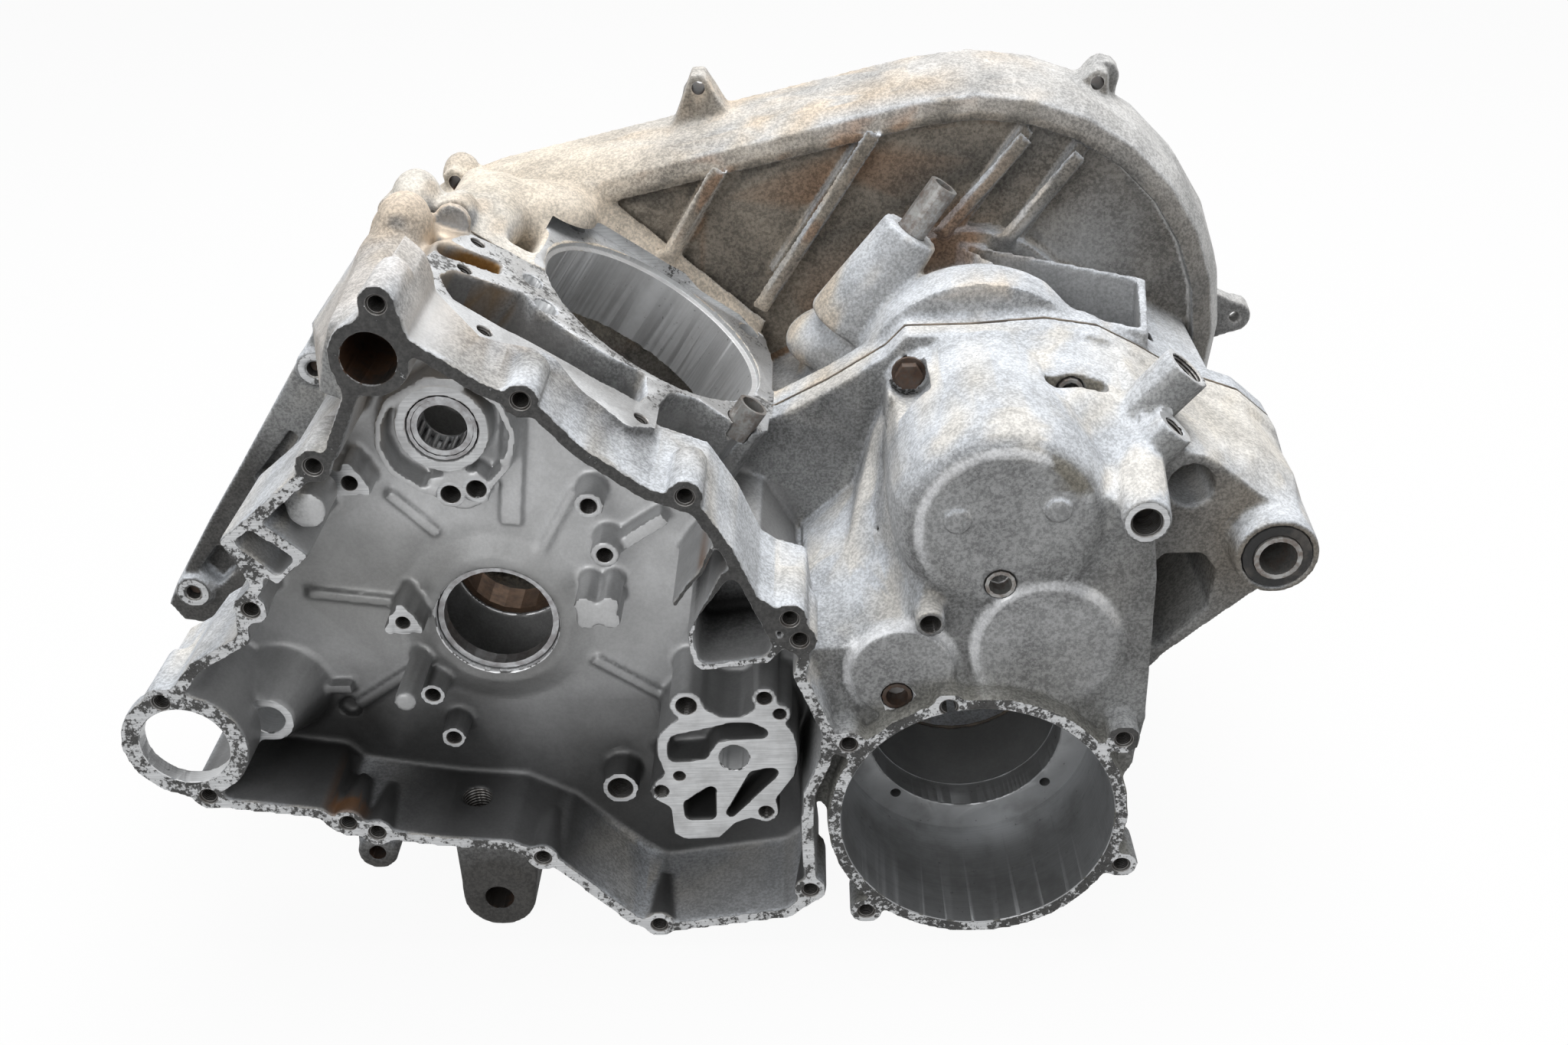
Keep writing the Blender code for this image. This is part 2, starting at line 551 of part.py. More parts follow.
def circle(centre, radius, sides, start=0.0):
    step = 2 * math.pi / sides
    return [
        (centre[0] + radius * math.cos(start + i * step), centre[1] + radius * math.sin(start + i * step))
        for i in range(sides)
    ]


def barrel(centre, radius, near, far, sides=BOSS_SIDES, end_radius=None):
    """A cylinder or a cone along the crank axis."""
    end = radius if end_radius is None else end_radius
    first = [(x, near, z) for x, z in circle(centre, radius, sides)]
    last = [(x, far, z) for x, z in circle(centre, end, sides)]
    return loft([first, last])


def rod(start, end, radius, sides=BOSS_SIDES, end_radius=None):
    """A cylinder or a cone between two points in space."""
    start, end = Vector(start), Vector(end)
    turn = (end - start).to_track_quat("Z", "Y")
    last = radius if end_radius is None else end_radius
    rings = []
    for place, size in ((start, radius), (end, last)):
        ring = circle((0.0, 0.0), size, sides, math.pi / sides)
        rings.append([place + turn @ Vector((x, y, 0.0)) for x, y in ring])
    return loft(rings)


def annulus(centre, outer, inner, near, far, sides=ROUND_SIDES):
    """A ring along the crank axis, as one closed solid with its hole."""
    rings = [(outer, near), (outer, far), (inner, far), (inner, near)]
    vertices = [(x, y, z) for radius, y in rings for x, z in circle(centre, radius, sides)]
    faces = []
    for level in range(4):
        low, high = level * sides, (level + 1) % 4 * sides
        for i in range(sides):
            j = (i + 1) % sides
            faces.append([low + i, low + j, high + j, high + i])
    return mesh_of(vertices, faces)


def bar(start, end, width, near, far, end_width=None):
    """A straight rib between two points of the x-z plane. It can change its width."""
    ax, az = start
    bx, bz = end
    length = math.hypot(bx - ax, bz - az)
    sx, sz = -(bz - az) / length / 2, (bx - ax) / length / 2
    last = width if end_width is None else end_width
    outline = [
        (ax + sx * width, az + sz * width), (bx + sx * last, bz + sz * last),
        (bx - sx * last, bz - sz * last), (ax - sx * width, az - sz * width),
    ]
    return prism(outline, near, far)


def column(sections, sides=BOSS_SIDES):
    """A round column through centres, radii and stations."""
    return loft([[(x, y, z) for x, z in circle(centre, radius, sides)] for centre, radius, y in sections])


def inset(outline, distance):
    """The outline moved inwards, with mitred corners. It runs clockwise."""
    moved = []
    count = len(outline)
    area = sum(
        outline[i][0] * outline[(i + 1) % count][1] - outline[(i + 1) % count][0] * outline[i][1]
        for i in range(count)
    )
    side = 1.0 if area > 0 else -1.0
    for i in range(count):
        before, here, after = outline[i - 1], outline[i], outline[(i + 1) % count]
        first = Vector((here[0] - before[0], here[1] - before[1])).normalized()
        second = Vector((after[0] - here[0], after[1] - here[1])).normalized()
        normal_a = Vector((-first.y, first.x)) * side
        normal_b = Vector((-second.y, second.x)) * side
        mitre = normal_a + normal_b
        reach = distance / max(0.55, mitre.length_squared / 2)
        moved.append((here[0] + mitre.x * reach, here[1] + mitre.y * reach))
    return moved


def belt_outline(grow, steps=15):
    """The belt housing's outline: two arcs joined by their outer tangents."""
    (ax, az), (bx, bz) = DRIVE_CENTRE, DRIVEN_CENTRE
    ra, rb = DRIVE_RADIUS + grow, DRIVEN_RADIUS + grow
    length = math.hypot(bx - ax, bz - az)
    lean = math.atan2(bz - az, bx - ax)
    tilt = math.acos((ra - rb) / length)
    points = []
    for i in range(steps):
        turn = lean - tilt + 2 * tilt * i / (steps - 1)
        points.append((bx + rb * math.cos(turn), bz + rb * math.sin(turn)))
    for i in range(steps):
        turn = lean + tilt + 2 * (math.pi - tilt) * i / (steps - 1)
        points.append((ax + ra * math.cos(turn), az + ra * math.sin(turn)))
    return points


# Objects

def collection_of(name, meshes):
    """A hidden set of shapes for one Boolean."""
    group = bpy.data.collections.new(name)
    bpy.context.scene.collection.children.link(group)
    for mesh in meshes:
        helper = bpy.data.objects.new(name, mesh)
        helper.hide_render = True
        helper.display_type = "WIRE"
        group.objects.link(helper)
    return group


def build(name, steps, material, solver="EXACT", smooth=35.0):
    """An object from a first mesh and a list of ('UNION' or 'DIFFERENCE', meshes).
    The two castings need the manifold solver: the exact one leaves open edges in them."""
    item = bpy.data.objects.new(name, steps[0])
    bpy.context.scene.collection.objects.link(item)
    item.data.materials.append(material)
    for index, (operation, meshes) in enumerate(steps[1:]):
        modifier = item.modifiers.new(f"{operation.lower()} {index}", "BOOLEAN")
        modifier.operation = operation
        modifier.solver = solver
        modifier.operand_type = "COLLECTION"
        modifier.collection = collection_of(f"{name} {operation.lower()} {index}", meshes)
    item.data.polygons.foreach_set("use_smooth", [True] * len(item.data.polygons))
    item.data.set_sharp_from_angle(angle=math.radians(smooth))
    return item


cast_metal = shade("cast_aluminium", (0.55, 0.55, 0.54), 0.62, 0.75)
clean_steel = shade("machined_steel", (0.42, 0.43, 0.44), 0.32, 0.95)
copper_metal = shade("bearing_bronze", (0.45, 0.25, 0.12), 0.4, 0.9)
gasket_paper = shade("gasket_sheet", (0.20, 0.18, 0.15), 0.85, 0.0)
rusty_steel = shade("rusty_bolt_steel", (0.22, 0.12, 0.08), 0.75, 0.5)
rubber = shade("mount_rubber", (0.03, 0.03, 0.03), 0.8, 0.0)


# Shapes of the near half

def starter_relief():
    """The open space behind the starter lug: the cavity wall bends round it and the left side is free."""
    arc = [math.radians(-95.0 + 15.0 * i) for i in range(15)]
    radius = STARTER_BORE + STARTER_RING - 0.5
    edge = [(STARTER[0] + radius * math.cos(a), STARTER[1] + radius * math.sin(a)) for a in arc]
    return edge + [(-139.0, 8.0), (-178.0, 10.0), (-178.0, -90.0), (-129.0, -90.0)]


def plate_station(height):
    """The station of the leaning gear plate at a height."""
    return PLATE_STATION + PLATE_LEAN * height


def gear_shapes():
    """The gear housing from outside: plate, arm, round shoulder, discs, bosses and spouts."""
    last = SPLIT - PAST
    plate = loft([
        [(x, plate_station(z), z) for x, z in PLATE_FRONT],
        [(x, PLATE_MIDDLE_STATION, z) for x, z in PLATE_MIDDLE],
        [(x, PLATE_REAR_STATION, z) for x, z in PLATE_REAR],
        [(x, last, z) for x, z in PLATE_REAR],
    ])
    arm = loft([
        [(x, ARM_STATIONS[0], z) for x, z in ARM_FRONT],
        [(x, ARM_STATIONS[1], z) for x, z in ARM_BACK],
        [(x, last, z) for x, z in ARM_BACK],
    ])
    shapes = [
        plate,
        arm,
        column([(SHOULDER_CENTRE, radius, y) for radius, y in SHOULDER], BIG_SIDES),
        barrel(RIGHT_LUG, LUG_RADIUS, LUG_FRONT, SPLIT - 3 * PAST, BIG_SIDES, LUG_END_RADIUS),
        barrel(PLATE_BOSS, PLATE_BOSS_RADIUS, PLATE_BOSS_FRONT, PLATE_STATION + 20.0),
        column(COLUMN),
        barrel(SPOUT_PLUG, SPOUT_PLUG_RADIUS, SPOUT_PLUG_FRONT, SPOUT_PLUG_FRONT + 10.0),
    ]
    shapes += [barrel(spot, radius, front, front + 12.0, BIG_SIDES) for spot, radius, front in PLATE_DISCS]
    shapes += [barrel(spot, BUMP_RADIUS, BUMP_FRONT, PLATE_STATION + 10.0) for spot in DISC_BUMPS]
    shapes += [rod(base, spout_mouth(base, top), radius, PIN_SIDES) for base, top, radius, _ in SPOUTS]
    return shapes


def spout_mouth(base, top):
    """The mouth of a spout: from its base along its lean, up to the height of the mouth."""
    base = Vector(base)
    length = (Vector((top[0], base.y, top[1])) - base).length
    return base + SPOUT_LEAN * length


def spout_bore(base, top, hole):
    mouth = spout_mouth(base, top)
    return rod(mouth - SPOUT_LEAN * SPOUT_THREAD, mouth + SPOUT_LEAN * PAST, hole, PIN_SIDES)


def gear_room():
    """The space behind the gear plate, open to the split plane."""
    near, far = ROOM_STATIONS
    return loft([
        [(x, near, z) for x, z in ROOM_FRONT],
        [(x, far, z) for x, z in ROOM_BACK],
        [(x, SPLIT + PAST, z) for x, z in ROOM_BACK],
    ])


def cavity_details():
    """What stands on the floor of the generator room."""
    floor = CAVITY_DEPTH + PAST
    details = [
        barrel((0.0, 0.0), CRANK_BOSS, CAVITY_DEPTH - CRANK_BOSS_RISE, WEB_BACK, ROUND_SIDES),
        barrel((0.0, 0.0), CRANK_BOSS + OVERLAP, CAVITY_DEPTH - CRANK_BOSS_RISE + PAST, floor, ROUND_SIDES, CRANK_DOME),
        barrel(BALANCER, BALANCER_BOSS, BALANCER_STATION, WEB_BACK, BIG_SIDES),
        prism(KIDNEY, KIDNEY_FRONT, floor),
        prism(TRIANGLE, 0.0, WEB_BACK),
        prism(RECTANGLE, 0.0, WEB_BACK),
        barrel(PASSAGE_LUMP, PASSAGE_LUMP_RADIUS, PASSAGE_LUMP_FRONT, WEB_BACK),
        barrel(STARTER, STARTER_BORE + 2 * STARTER_RING, 0.0, WEB_BACK, BIG_SIDES),
        barrel(OIL_BORE, OIL_BOSS_RADIUS, 0.0, WEB_BACK, INNER_SIDES),
        barrel(IDLER_BOSS, IDLER_RADIUS, IDLER_FRONT, floor, RING_SIDES, IDLER_FOOT),
        barrel(OVAL_PEG, PEG_RADIUS, PEG_FRONT, floor),
        barrel(SMALL_PIN, PIN_RADIUS, PIN_FRONT, floor, SMALL_SIDES),
        prism(PUMP_OUTLINE, PUMP_FRONT, floor),
    ]
    rim = BALANCER_RIM + BALANCER_RIM[:1]
    details += [bar(a, b, RIM_WIDTH, BALANCER_STATION, floor) for a, b in zip(rim, rim[1:])]
    details += [barrel(spot, RIM_WIDTH / 2, BALANCER_STATION, floor, SMALL_SIDES) for spot in BALANCER_RIM]
    details += [bar(a, b, width, front, floor) for a, b, width, front in WEB_RIBS]
    details += [barrel(spot, radius, front, floor) for spot, radius, front, _ in CAVITY_BOSSES]
    details += [barrel(spot, radius, PUMP_FRONT, floor) for spot, radius, _ in PUMP_LOBES]
    details += [bar(a, b, BAFFLE_WIDTH, 0.0, floor) for a, b in zip(BAFFLE, BAFFLE[1:])]
    details += clover(CLOVER, CLOVER_FRONT, floor)
    for x, z, front in EARED_BOSSES:
        for i in range(3):
            turn = math.radians(90.0 + 120.0 * i)
            spot = (x + EAR_STEP * math.cos(turn), z + EAR_STEP * math.sin(turn))
            details.append(barrel(spot, SMALL_EAR, front, floor, SMALL_SIDES))
    return details


def clover(centre, near, far):
    """A pad with four round lobes."""
    lobes = []
    for i in range(4):
        turn = math.radians(45.0 + 90.0 * i)
        spot = (centre[0] + CLOVER_REACH * math.cos(turn), centre[1] + CLOVER_REACH * 0.7 * math.sin(turn))
        lobes.append(barrel(spot, CLOVER_LOBE, near, far, 10))
    return lobes + [barrel(centre, CLOVER_LOBE, near, far, 10)]


def stud_hole(side, end):
    across, behind = side * STUD_SPAN[0] / 2, end * STUD_SPAN[1] / 2
    return rod(deck_point(across, behind, -STUD_DEPTH), deck_point(across, behind, PAST), STUD_HOLE, PIN_SIDES)


def dowel_seat(side, end):
    """The wider top of a stud hole, where a hollow dowel sits."""
    across, behind = side * STUD_SPAN[0] / 2, end * STUD_SPAN[1] / 2
    low = deck_point(across, behind, -DOWEL_SUNK - SEAT_GAP)
    return rod(low, deck_point(across, behind, PAST), DOWEL_OUTER + SEAT_GAP, RING_SIDES)


def spigot_cuts():
    """The hole for the cylinder's foot and the shallow lip round it."""
    above = deck_point(0, 0, 2 * PAST)
    return [
        rod(deck_point(0, 0, -SPIGOT_DEPTH), above, SPIGOT_RADIUS, ROUND_SIDES),
        rod(deck_point(0, 0, -LIP_DEPTH), above, LIP_RADIUS, ROUND_SIDES),
    ]


def near_drills():
    """Bores, passages, threads and seats of the near half."""
    lug_far = LOWER_LUG_FRONT + LOWER_LUG_WIDTH
    small_near, small_far = SMALL_LUG_STATIONS
    drills = [
        barrel((0.0, 0.0), CRANK_SEAT, CAVITY_DEPTH - 5.0, WEB_BACK + 3 * PAST, ROUND_SIDES),
        barrel((0.0, 0.0), CRANK_SEAT, BEARING_FRONT - PAST, CRANK_NEAR + PAST, ROUND_SIDES),
        barrel(BALANCER, NEEDLE_OUTER + SEAT_GAP, BALANCER_STATION - PAST, WEB_BACK + 3 * PAST, BIG_SIDES),
        barrel(OIL_BORE, OIL_BORE_RADIUS, -PAST, CAVITY_DEPTH - PASSAGE_FLOOR, RING_SIDES),
        barrel(STARTER, STARTER_BORE, -PAST, STARTER_LUG + PAST, BIG_SIDES),
        prism(starter_relief(), STARTER_LUG, WEB_BACK + 3 * PAST),
        prism(TRIANGLE_HOLE, -PAST, CAVITY_DEPTH - PASSAGE_FLOOR),
        prism(RECTANGLE_HOLE, -PAST, CAVITY_DEPTH - PASSAGE_FLOOR),
        barrel(RIGHT_LUG, LUG_BORE, LUG_FRONT - PAST, LUG_FRONT + LUG_DEPTH, INNER_SIDES),
        barrel(LOWER_LUG, LOWER_LUG_HOLE, LOWER_LUG_FRONT - PAST, lug_far + PAST, PIN_SIDES),
        barrel(SMALL_LUG, SMALL_LUG_HOLE, small_near - PAST, small_far + PAST),
        rod((DRAIN[0], DRAIN[1], DRAIN_TOP), (DRAIN[0], DRAIN[1], DRAIN_BOTTOM), DRAIN_RADIUS, PIN_SIDES),
        deck_prism(CHAIN_TUNNEL, -TUNNEL_DEPTH, PAST),
        deck_prism(OIL_SLOT, -OIL_SLOT_DEPTH, PAST),
        rod(deck_point(*DECK_OVAL, -DECK_OVAL_DEPTH), deck_point(*DECK_OVAL, PAST), DECK_OVAL_RADIUS),
        barrel(PUMP_CENTRE, PUMP_SHAFT, PUMP_FRONT - PAST, PUMP_FRONT + PUMP_SHAFT_DEPTH, PIN_SIDES),
        prism(PUMP_WINDOW, PUMP_FRONT - PAST, PUMP_FRONT + PUMP_WINDOW_DEPTH),
        barrel(IDLER_BOSS, IDLER_BORE, IDLER_FRONT - PAST, CAVITY_DEPTH - 4.0, PIN_SIDES),
        barrel(WEB_HOLE, WEB_HOLE_RADIUS, CAVITY_DEPTH - 5.0, CAVITY_DEPTH + WEB_HOLE_DEPTH),
        barrel(ARM_ROUND_POCKET, ARM_POCKET_RADIUS, ARM_STATIONS[0] - PAST, ARM_POCKET_BACK, PIN_SIDES),
        prism(ARM_SLOT, ARM_STATIONS[0] - PAST, ARM_POCKET_BACK),
        barrel(PLATE_BOSS, PLATE_BOSS_HOLE, PLATE_BOSS_FRONT - PAST, PLATE_BOSS_FRONT + 14.0, SMALL_SIDES),
        barrel(COLUMN[0][0], COLUMN_HOLE, COLUMN[0][2] - PAST, COLUMN[0][2] + COLUMN_HOLE_DEPTH, PIN_SIDES),
        bolt_rod(TOP_BOLT, TOP_BOLT_SEAT - PAST, SPLIT + PAST, BOLT_GAP),
        barrel(TOP_BOLT, BOLT_FLANGE + OVERLAP, TOP_BOLT_SEAT - TOP_BOLT_RECESS, TOP_BOLT_SEAT, PIN_SIDES),
        prism([(PAD_HOLE[0] + x, PAD_HOLE[1] + z) for x, z in PAD_LENS], PAD_FRONT - PAD_RECESS, PAD_FRONT),
        barrel(PAD_HOLE, PAD_SEAT, PAD_FRONT - PAST, PAD_FRONT + PAD_DEPTH, RING_SIDES),
        barrel(FREE_BOSS, M6_CORE, SPLIT - CASE_BOSS_DEPTH - PAST, SPLIT - 3 * PAST, SMALL_SIDES),
        stud_hole(-1, -1),
        stud_hole(1, -1),
        dowel_seat(1, -1),
    ]
    drills += spigot_cuts()
    drills += [prism(slot, PUMP_FRONT - PAST, PUMP_FRONT + PUMP_DEPTH) for slot in PUMP_SLOTS]
    drills += [prism(window, FLANGE_FRONT - PAST, SPLIT - WINDOW_FLOOR) for window in LEFT_WINDOWS]
    drills += [
        rod(deck_point(a, b, -DECK_HOLE_DEPTH), deck_point(a, b, PAST), radius, SMALL_SIDES)
        for (a, b), radius in DECK_HOLES
    ]
    drills += [barrel(spot, M6_CORE, -PAST, COVER_HOLE_DEPTH, SMALL_SIDES) for spot in COVER_BOLTS + OUTPUT_BOLTS]
    drills += [barrel(spot, hole, front - PAST, CAVITY_DEPTH, SMALL_SIDES) for spot, _, front, hole in CAVITY_BOSSES]
    drills += [
        barrel(spot, hole, PUMP_FRONT - PAST, PUMP_FRONT + PUMP_LOBE_DEPTH, SMALL_SIDES)
        for spot, _, hole in PUMP_LOBES
    ]
    drills += [
        barrel(spot, M6_CORE, OUTPUT_DEPTH - SEAT_BOSS_RISE - PAST, OUTPUT_DEPTH + 8.0, SMALL_SIDES)
        for spot in SEAT_BOSSES
    ]
    drills += [bolt_rod(spot, SPLIT - CASE_BOSS_DEPTH - PAST, SPLIT + PAST, BOLT_GAP) for spot in CASE_BOLTS]
    drills += [
        barrel(spot, CASE_DOWEL + SEAT_GAP, SPLIT - CASE_DOWEL_REACH - GAP, SPLIT + PAST, PIN_SIDES)
        for spot in (CASE_BOLTS[0], CASE_BOLTS[-1])
    ]
    drills += [barrel(spot, BUSH_SEAT, front - PAST, front + BUSH_SEAT_DEPTH, PIN_SIDES) for spot, front in BUSH_SEATS]
    drills += [spout_bore(base, top, hole) for base, top, _, hole in SPOUTS]
    return drills


def near_half():
    """Generator-side half: flywheel room, chain space, pump housing, gear cover and output."""
    chamber = inset(CHAMBER_OUTLINE, CHAMBER_WALL)
    output_outer = OUTPUT_BORE + OUTPUT_WALL
    seat_back = OUTPUT_DEPTH + OUTPUT_SEAT_DEPTH
    lug_far = LOWER_LUG_FRONT + LOWER_LUG_WIDTH
    small_near, small_far = SMALL_LUG_STATIONS
    outer = [
        prism(CHAMBER_OUTLINE, WEB_BACK, FLANGE_FRONT + PAST),
        prism(SPLIT_OUTLINE, FLANGE_FRONT, SPLIT),
        deck_prism(NEAR_DECK, -NEAR_DECK_THICK, 0.0),
        barrel(OUTPUT, output_outer, OUTPUT_RIM_DEPTH - PAST, SPLIT - 2 * PAST, ROUND_SIDES),
        barrel(OUTPUT, output_outer + OUTPUT_RIM, 0.0, OUTPUT_RIM_DEPTH, ROUND_SIDES),
        barrel(STARTER, STARTER_BORE + STARTER_RING, 0.0, STARTER_LUG + PAST, BIG_SIDES),
        barrel(OIL_BORE, OIL_BOSS_RADIUS, 0.0, WEB_BACK, INNER_SIDES),
        barrel(LOWER_LUG, LOWER_LUG_RADIUS, LOWER_LUG_FRONT, lug_far, INNER_SIDES),
        prism(LOWER_LUG_WEB, LOWER_LUG_FRONT + PAST, lug_far - PAST),
        barrel(SMALL_LUG, SMALL_LUG_RADIUS, small_near, small_far),
        prism(SMALL_LUG_WEB, small_near + 4.0, small_far),
    ]
    outer += gear_shapes()
    outer += [barrel(spot, BOSS, 0.0, COVER_BOSS_DEPTH) for spot in COVER_BOLTS]
    outer += [barrel(spot, BOSS, 0.0, OUTPUT_RIM_DEPTH + 11.0) for spot in OUTPUT_BOLTS]
    outer += [barrel(spot, CASE_BOSS, SPLIT - CASE_BOSS_DEPTH, SPLIT - PAST) for spot in CASE_BOLTS + [FREE_BOSS]]
    outer += [barrel(spot, radius, near, far, PIN_SIDES) for spot, radius, near, far in NEAR_LUMPS]
    hollow = [
        prism(inset(COVER_OUTLINE, CASE_WALL), -PAST, CAVITY_DEPTH),
        prism(chamber, WEB_BACK + OVERLAP, BEARING_FRONT),
        prism(chamber, CRANK_NEAR, SPLIT + PAST),
        gear_room(),
        barrel(OUTPUT, OUTPUT_BORE, -PAST, OUTPUT_DEPTH, ROUND_SIDES),
        barrel(OUTPUT, OUTPUT_SEAT, OUTPUT_DEPTH - PAST, SPLIT + PAST, ROUND_SIDES),
    ]
    inner = cavity_details()
    inner += [
        annulus(OUTPUT, output_outer, OUTPUT_BORE, OUTPUT_RIM_DEPTH - PAST, OUTPUT_DEPTH + PAST),
        annulus(OUTPUT, output_outer, OUTPUT_SEAT, OUTPUT_DEPTH, seat_back),
        prism(PAD_BLOCK, ROOM_STATIONS[1], SPLIT - PAST),
        prism(TOP_BOLT_BLOCK, TOP_BOLT_SEAT - TOP_BOLT_BLOCK_DEPTH, SPLIT - PAST),
    ]
    inner += [
        barrel(spot, SEAT_BOSS_RADIUS, OUTPUT_DEPTH - SEAT_BOSS_RISE, OUTPUT_DEPTH + OVERLAP) for spot in SEAT_BOSSES
    ]
    inner += [
        barrel(spot, BOSS, 0.0, COVER_BOSS_DEPTH, BOSS_SIDES, COVER_BOSS_TIP) for spot in COVER_BOLTS
    ]
    steps = [
        prism(COVER_OUTLINE, 0.0, WEB_BACK + OVERLAP),
        ("UNION", outer),
        ("DIFFERENCE", hollow),
        ("UNION", inner),
        ("DIFFERENCE", near_drills()),
    ]
    return build("crankcase_left", steps, cast_metal, "MANIFOLD")


# Shapes of the far half

def belt_shell():
    """The belt housing: a dished wall whose rim opens to the back, with ears for the cover."""
    sections = [
        (-BELT_SHOULDER, FAR_WALL_FRONT),
        (-BELT_SHOULDER * 0.55, FAR_WALL_FRONT + 5.0),
        (-BELT_SHOULDER * 0.2, BELT_WALL_FRONT + 8.0),
        (0.0, BELT_FACE - RIM_STRAIGHT),
        (0.0, BELT_FACE),
    ]
    return loft([[(x, y, z) for x, z in belt_outline(grow)] for grow, y in sections])


def belt_dish():
    """The recess the belt runs in, open to the back, and the relief in front of its floor."""
    floor = BELT_WALL_FRONT + BELT_WALL
    return [
        prism(belt_outline(-BELT_SHOULDER - 3.0), FAR_WALL_FRONT - PAST, BELT_WALL_FRONT),
        loft([
            [(x, BELT_FACE + PAST, z) for x, z in belt_outline(-BELT_RIM)],
            [(x, floor + 12.0, z) for x, z in belt_outline(-BELT_RIM)],
            [(x, floor, z) for x, z in belt_outline(-BELT_SHOULDER * 0.6 - BELT_RIM)],
        ]),
    ]


def rim_ear(kind, value, out):
    """The middle of a cover ear: at an angle round a pulley, or a share along the upper straight."""
    drive, driven = Vector(DRIVE_CENTRE), Vector(DRIVEN_CENTRE)
    line = driven - drive
    if kind == "straight":
        centre = drive + line * value
        radius = DRIVE_RADIUS + (DRIVEN_RADIUS - DRIVE_RADIUS) * value
        toward = Vector((-line.y, line.x)).normalized()
        return centre + toward * (radius + out)
    centre, radius = (drive, DRIVE_RADIUS) if kind == "drive" else (driven, DRIVEN_RADIUS)
    turn = math.radians(value)
    return centre + Vector((math.cos(turn), math.sin(turn))) * (radius + out)


def ear_root(spot):
    """Where an ear joins the rim: a step from the ear towards the line of the two pulleys."""
    first, last = Vector(DRIVE_CENTRE), Vector(DRIVEN_CENTRE)
    line = last - first
    share = min(1.0, max(0.0, (spot - first).dot(line) / line.length_squared))
    return spot + (first + line * share - spot).normalized() * EAR_REACH


def tube_point(along):
    return Vector(TUBE_SEAT) + UP * along


def filler_box(wall, depth, above):
    """The three-cornered filler box on the far half, its mouth in a slightly tilted plane."""
    count = len(FILLER)
    middle = Vector((sum(p[0] for p in FILLER) / count, sum(p[1] for p in FILLER) / count))
    top, low = [], []
    for x, y, z in FILLER:
        out = (Vector((x, y)) - middle).normalized() * wall
        top.append((x + out.x, y + out.y, z + above))
        low.append((x + out.x, y + out.y, z - depth))
    return loft([low, top])


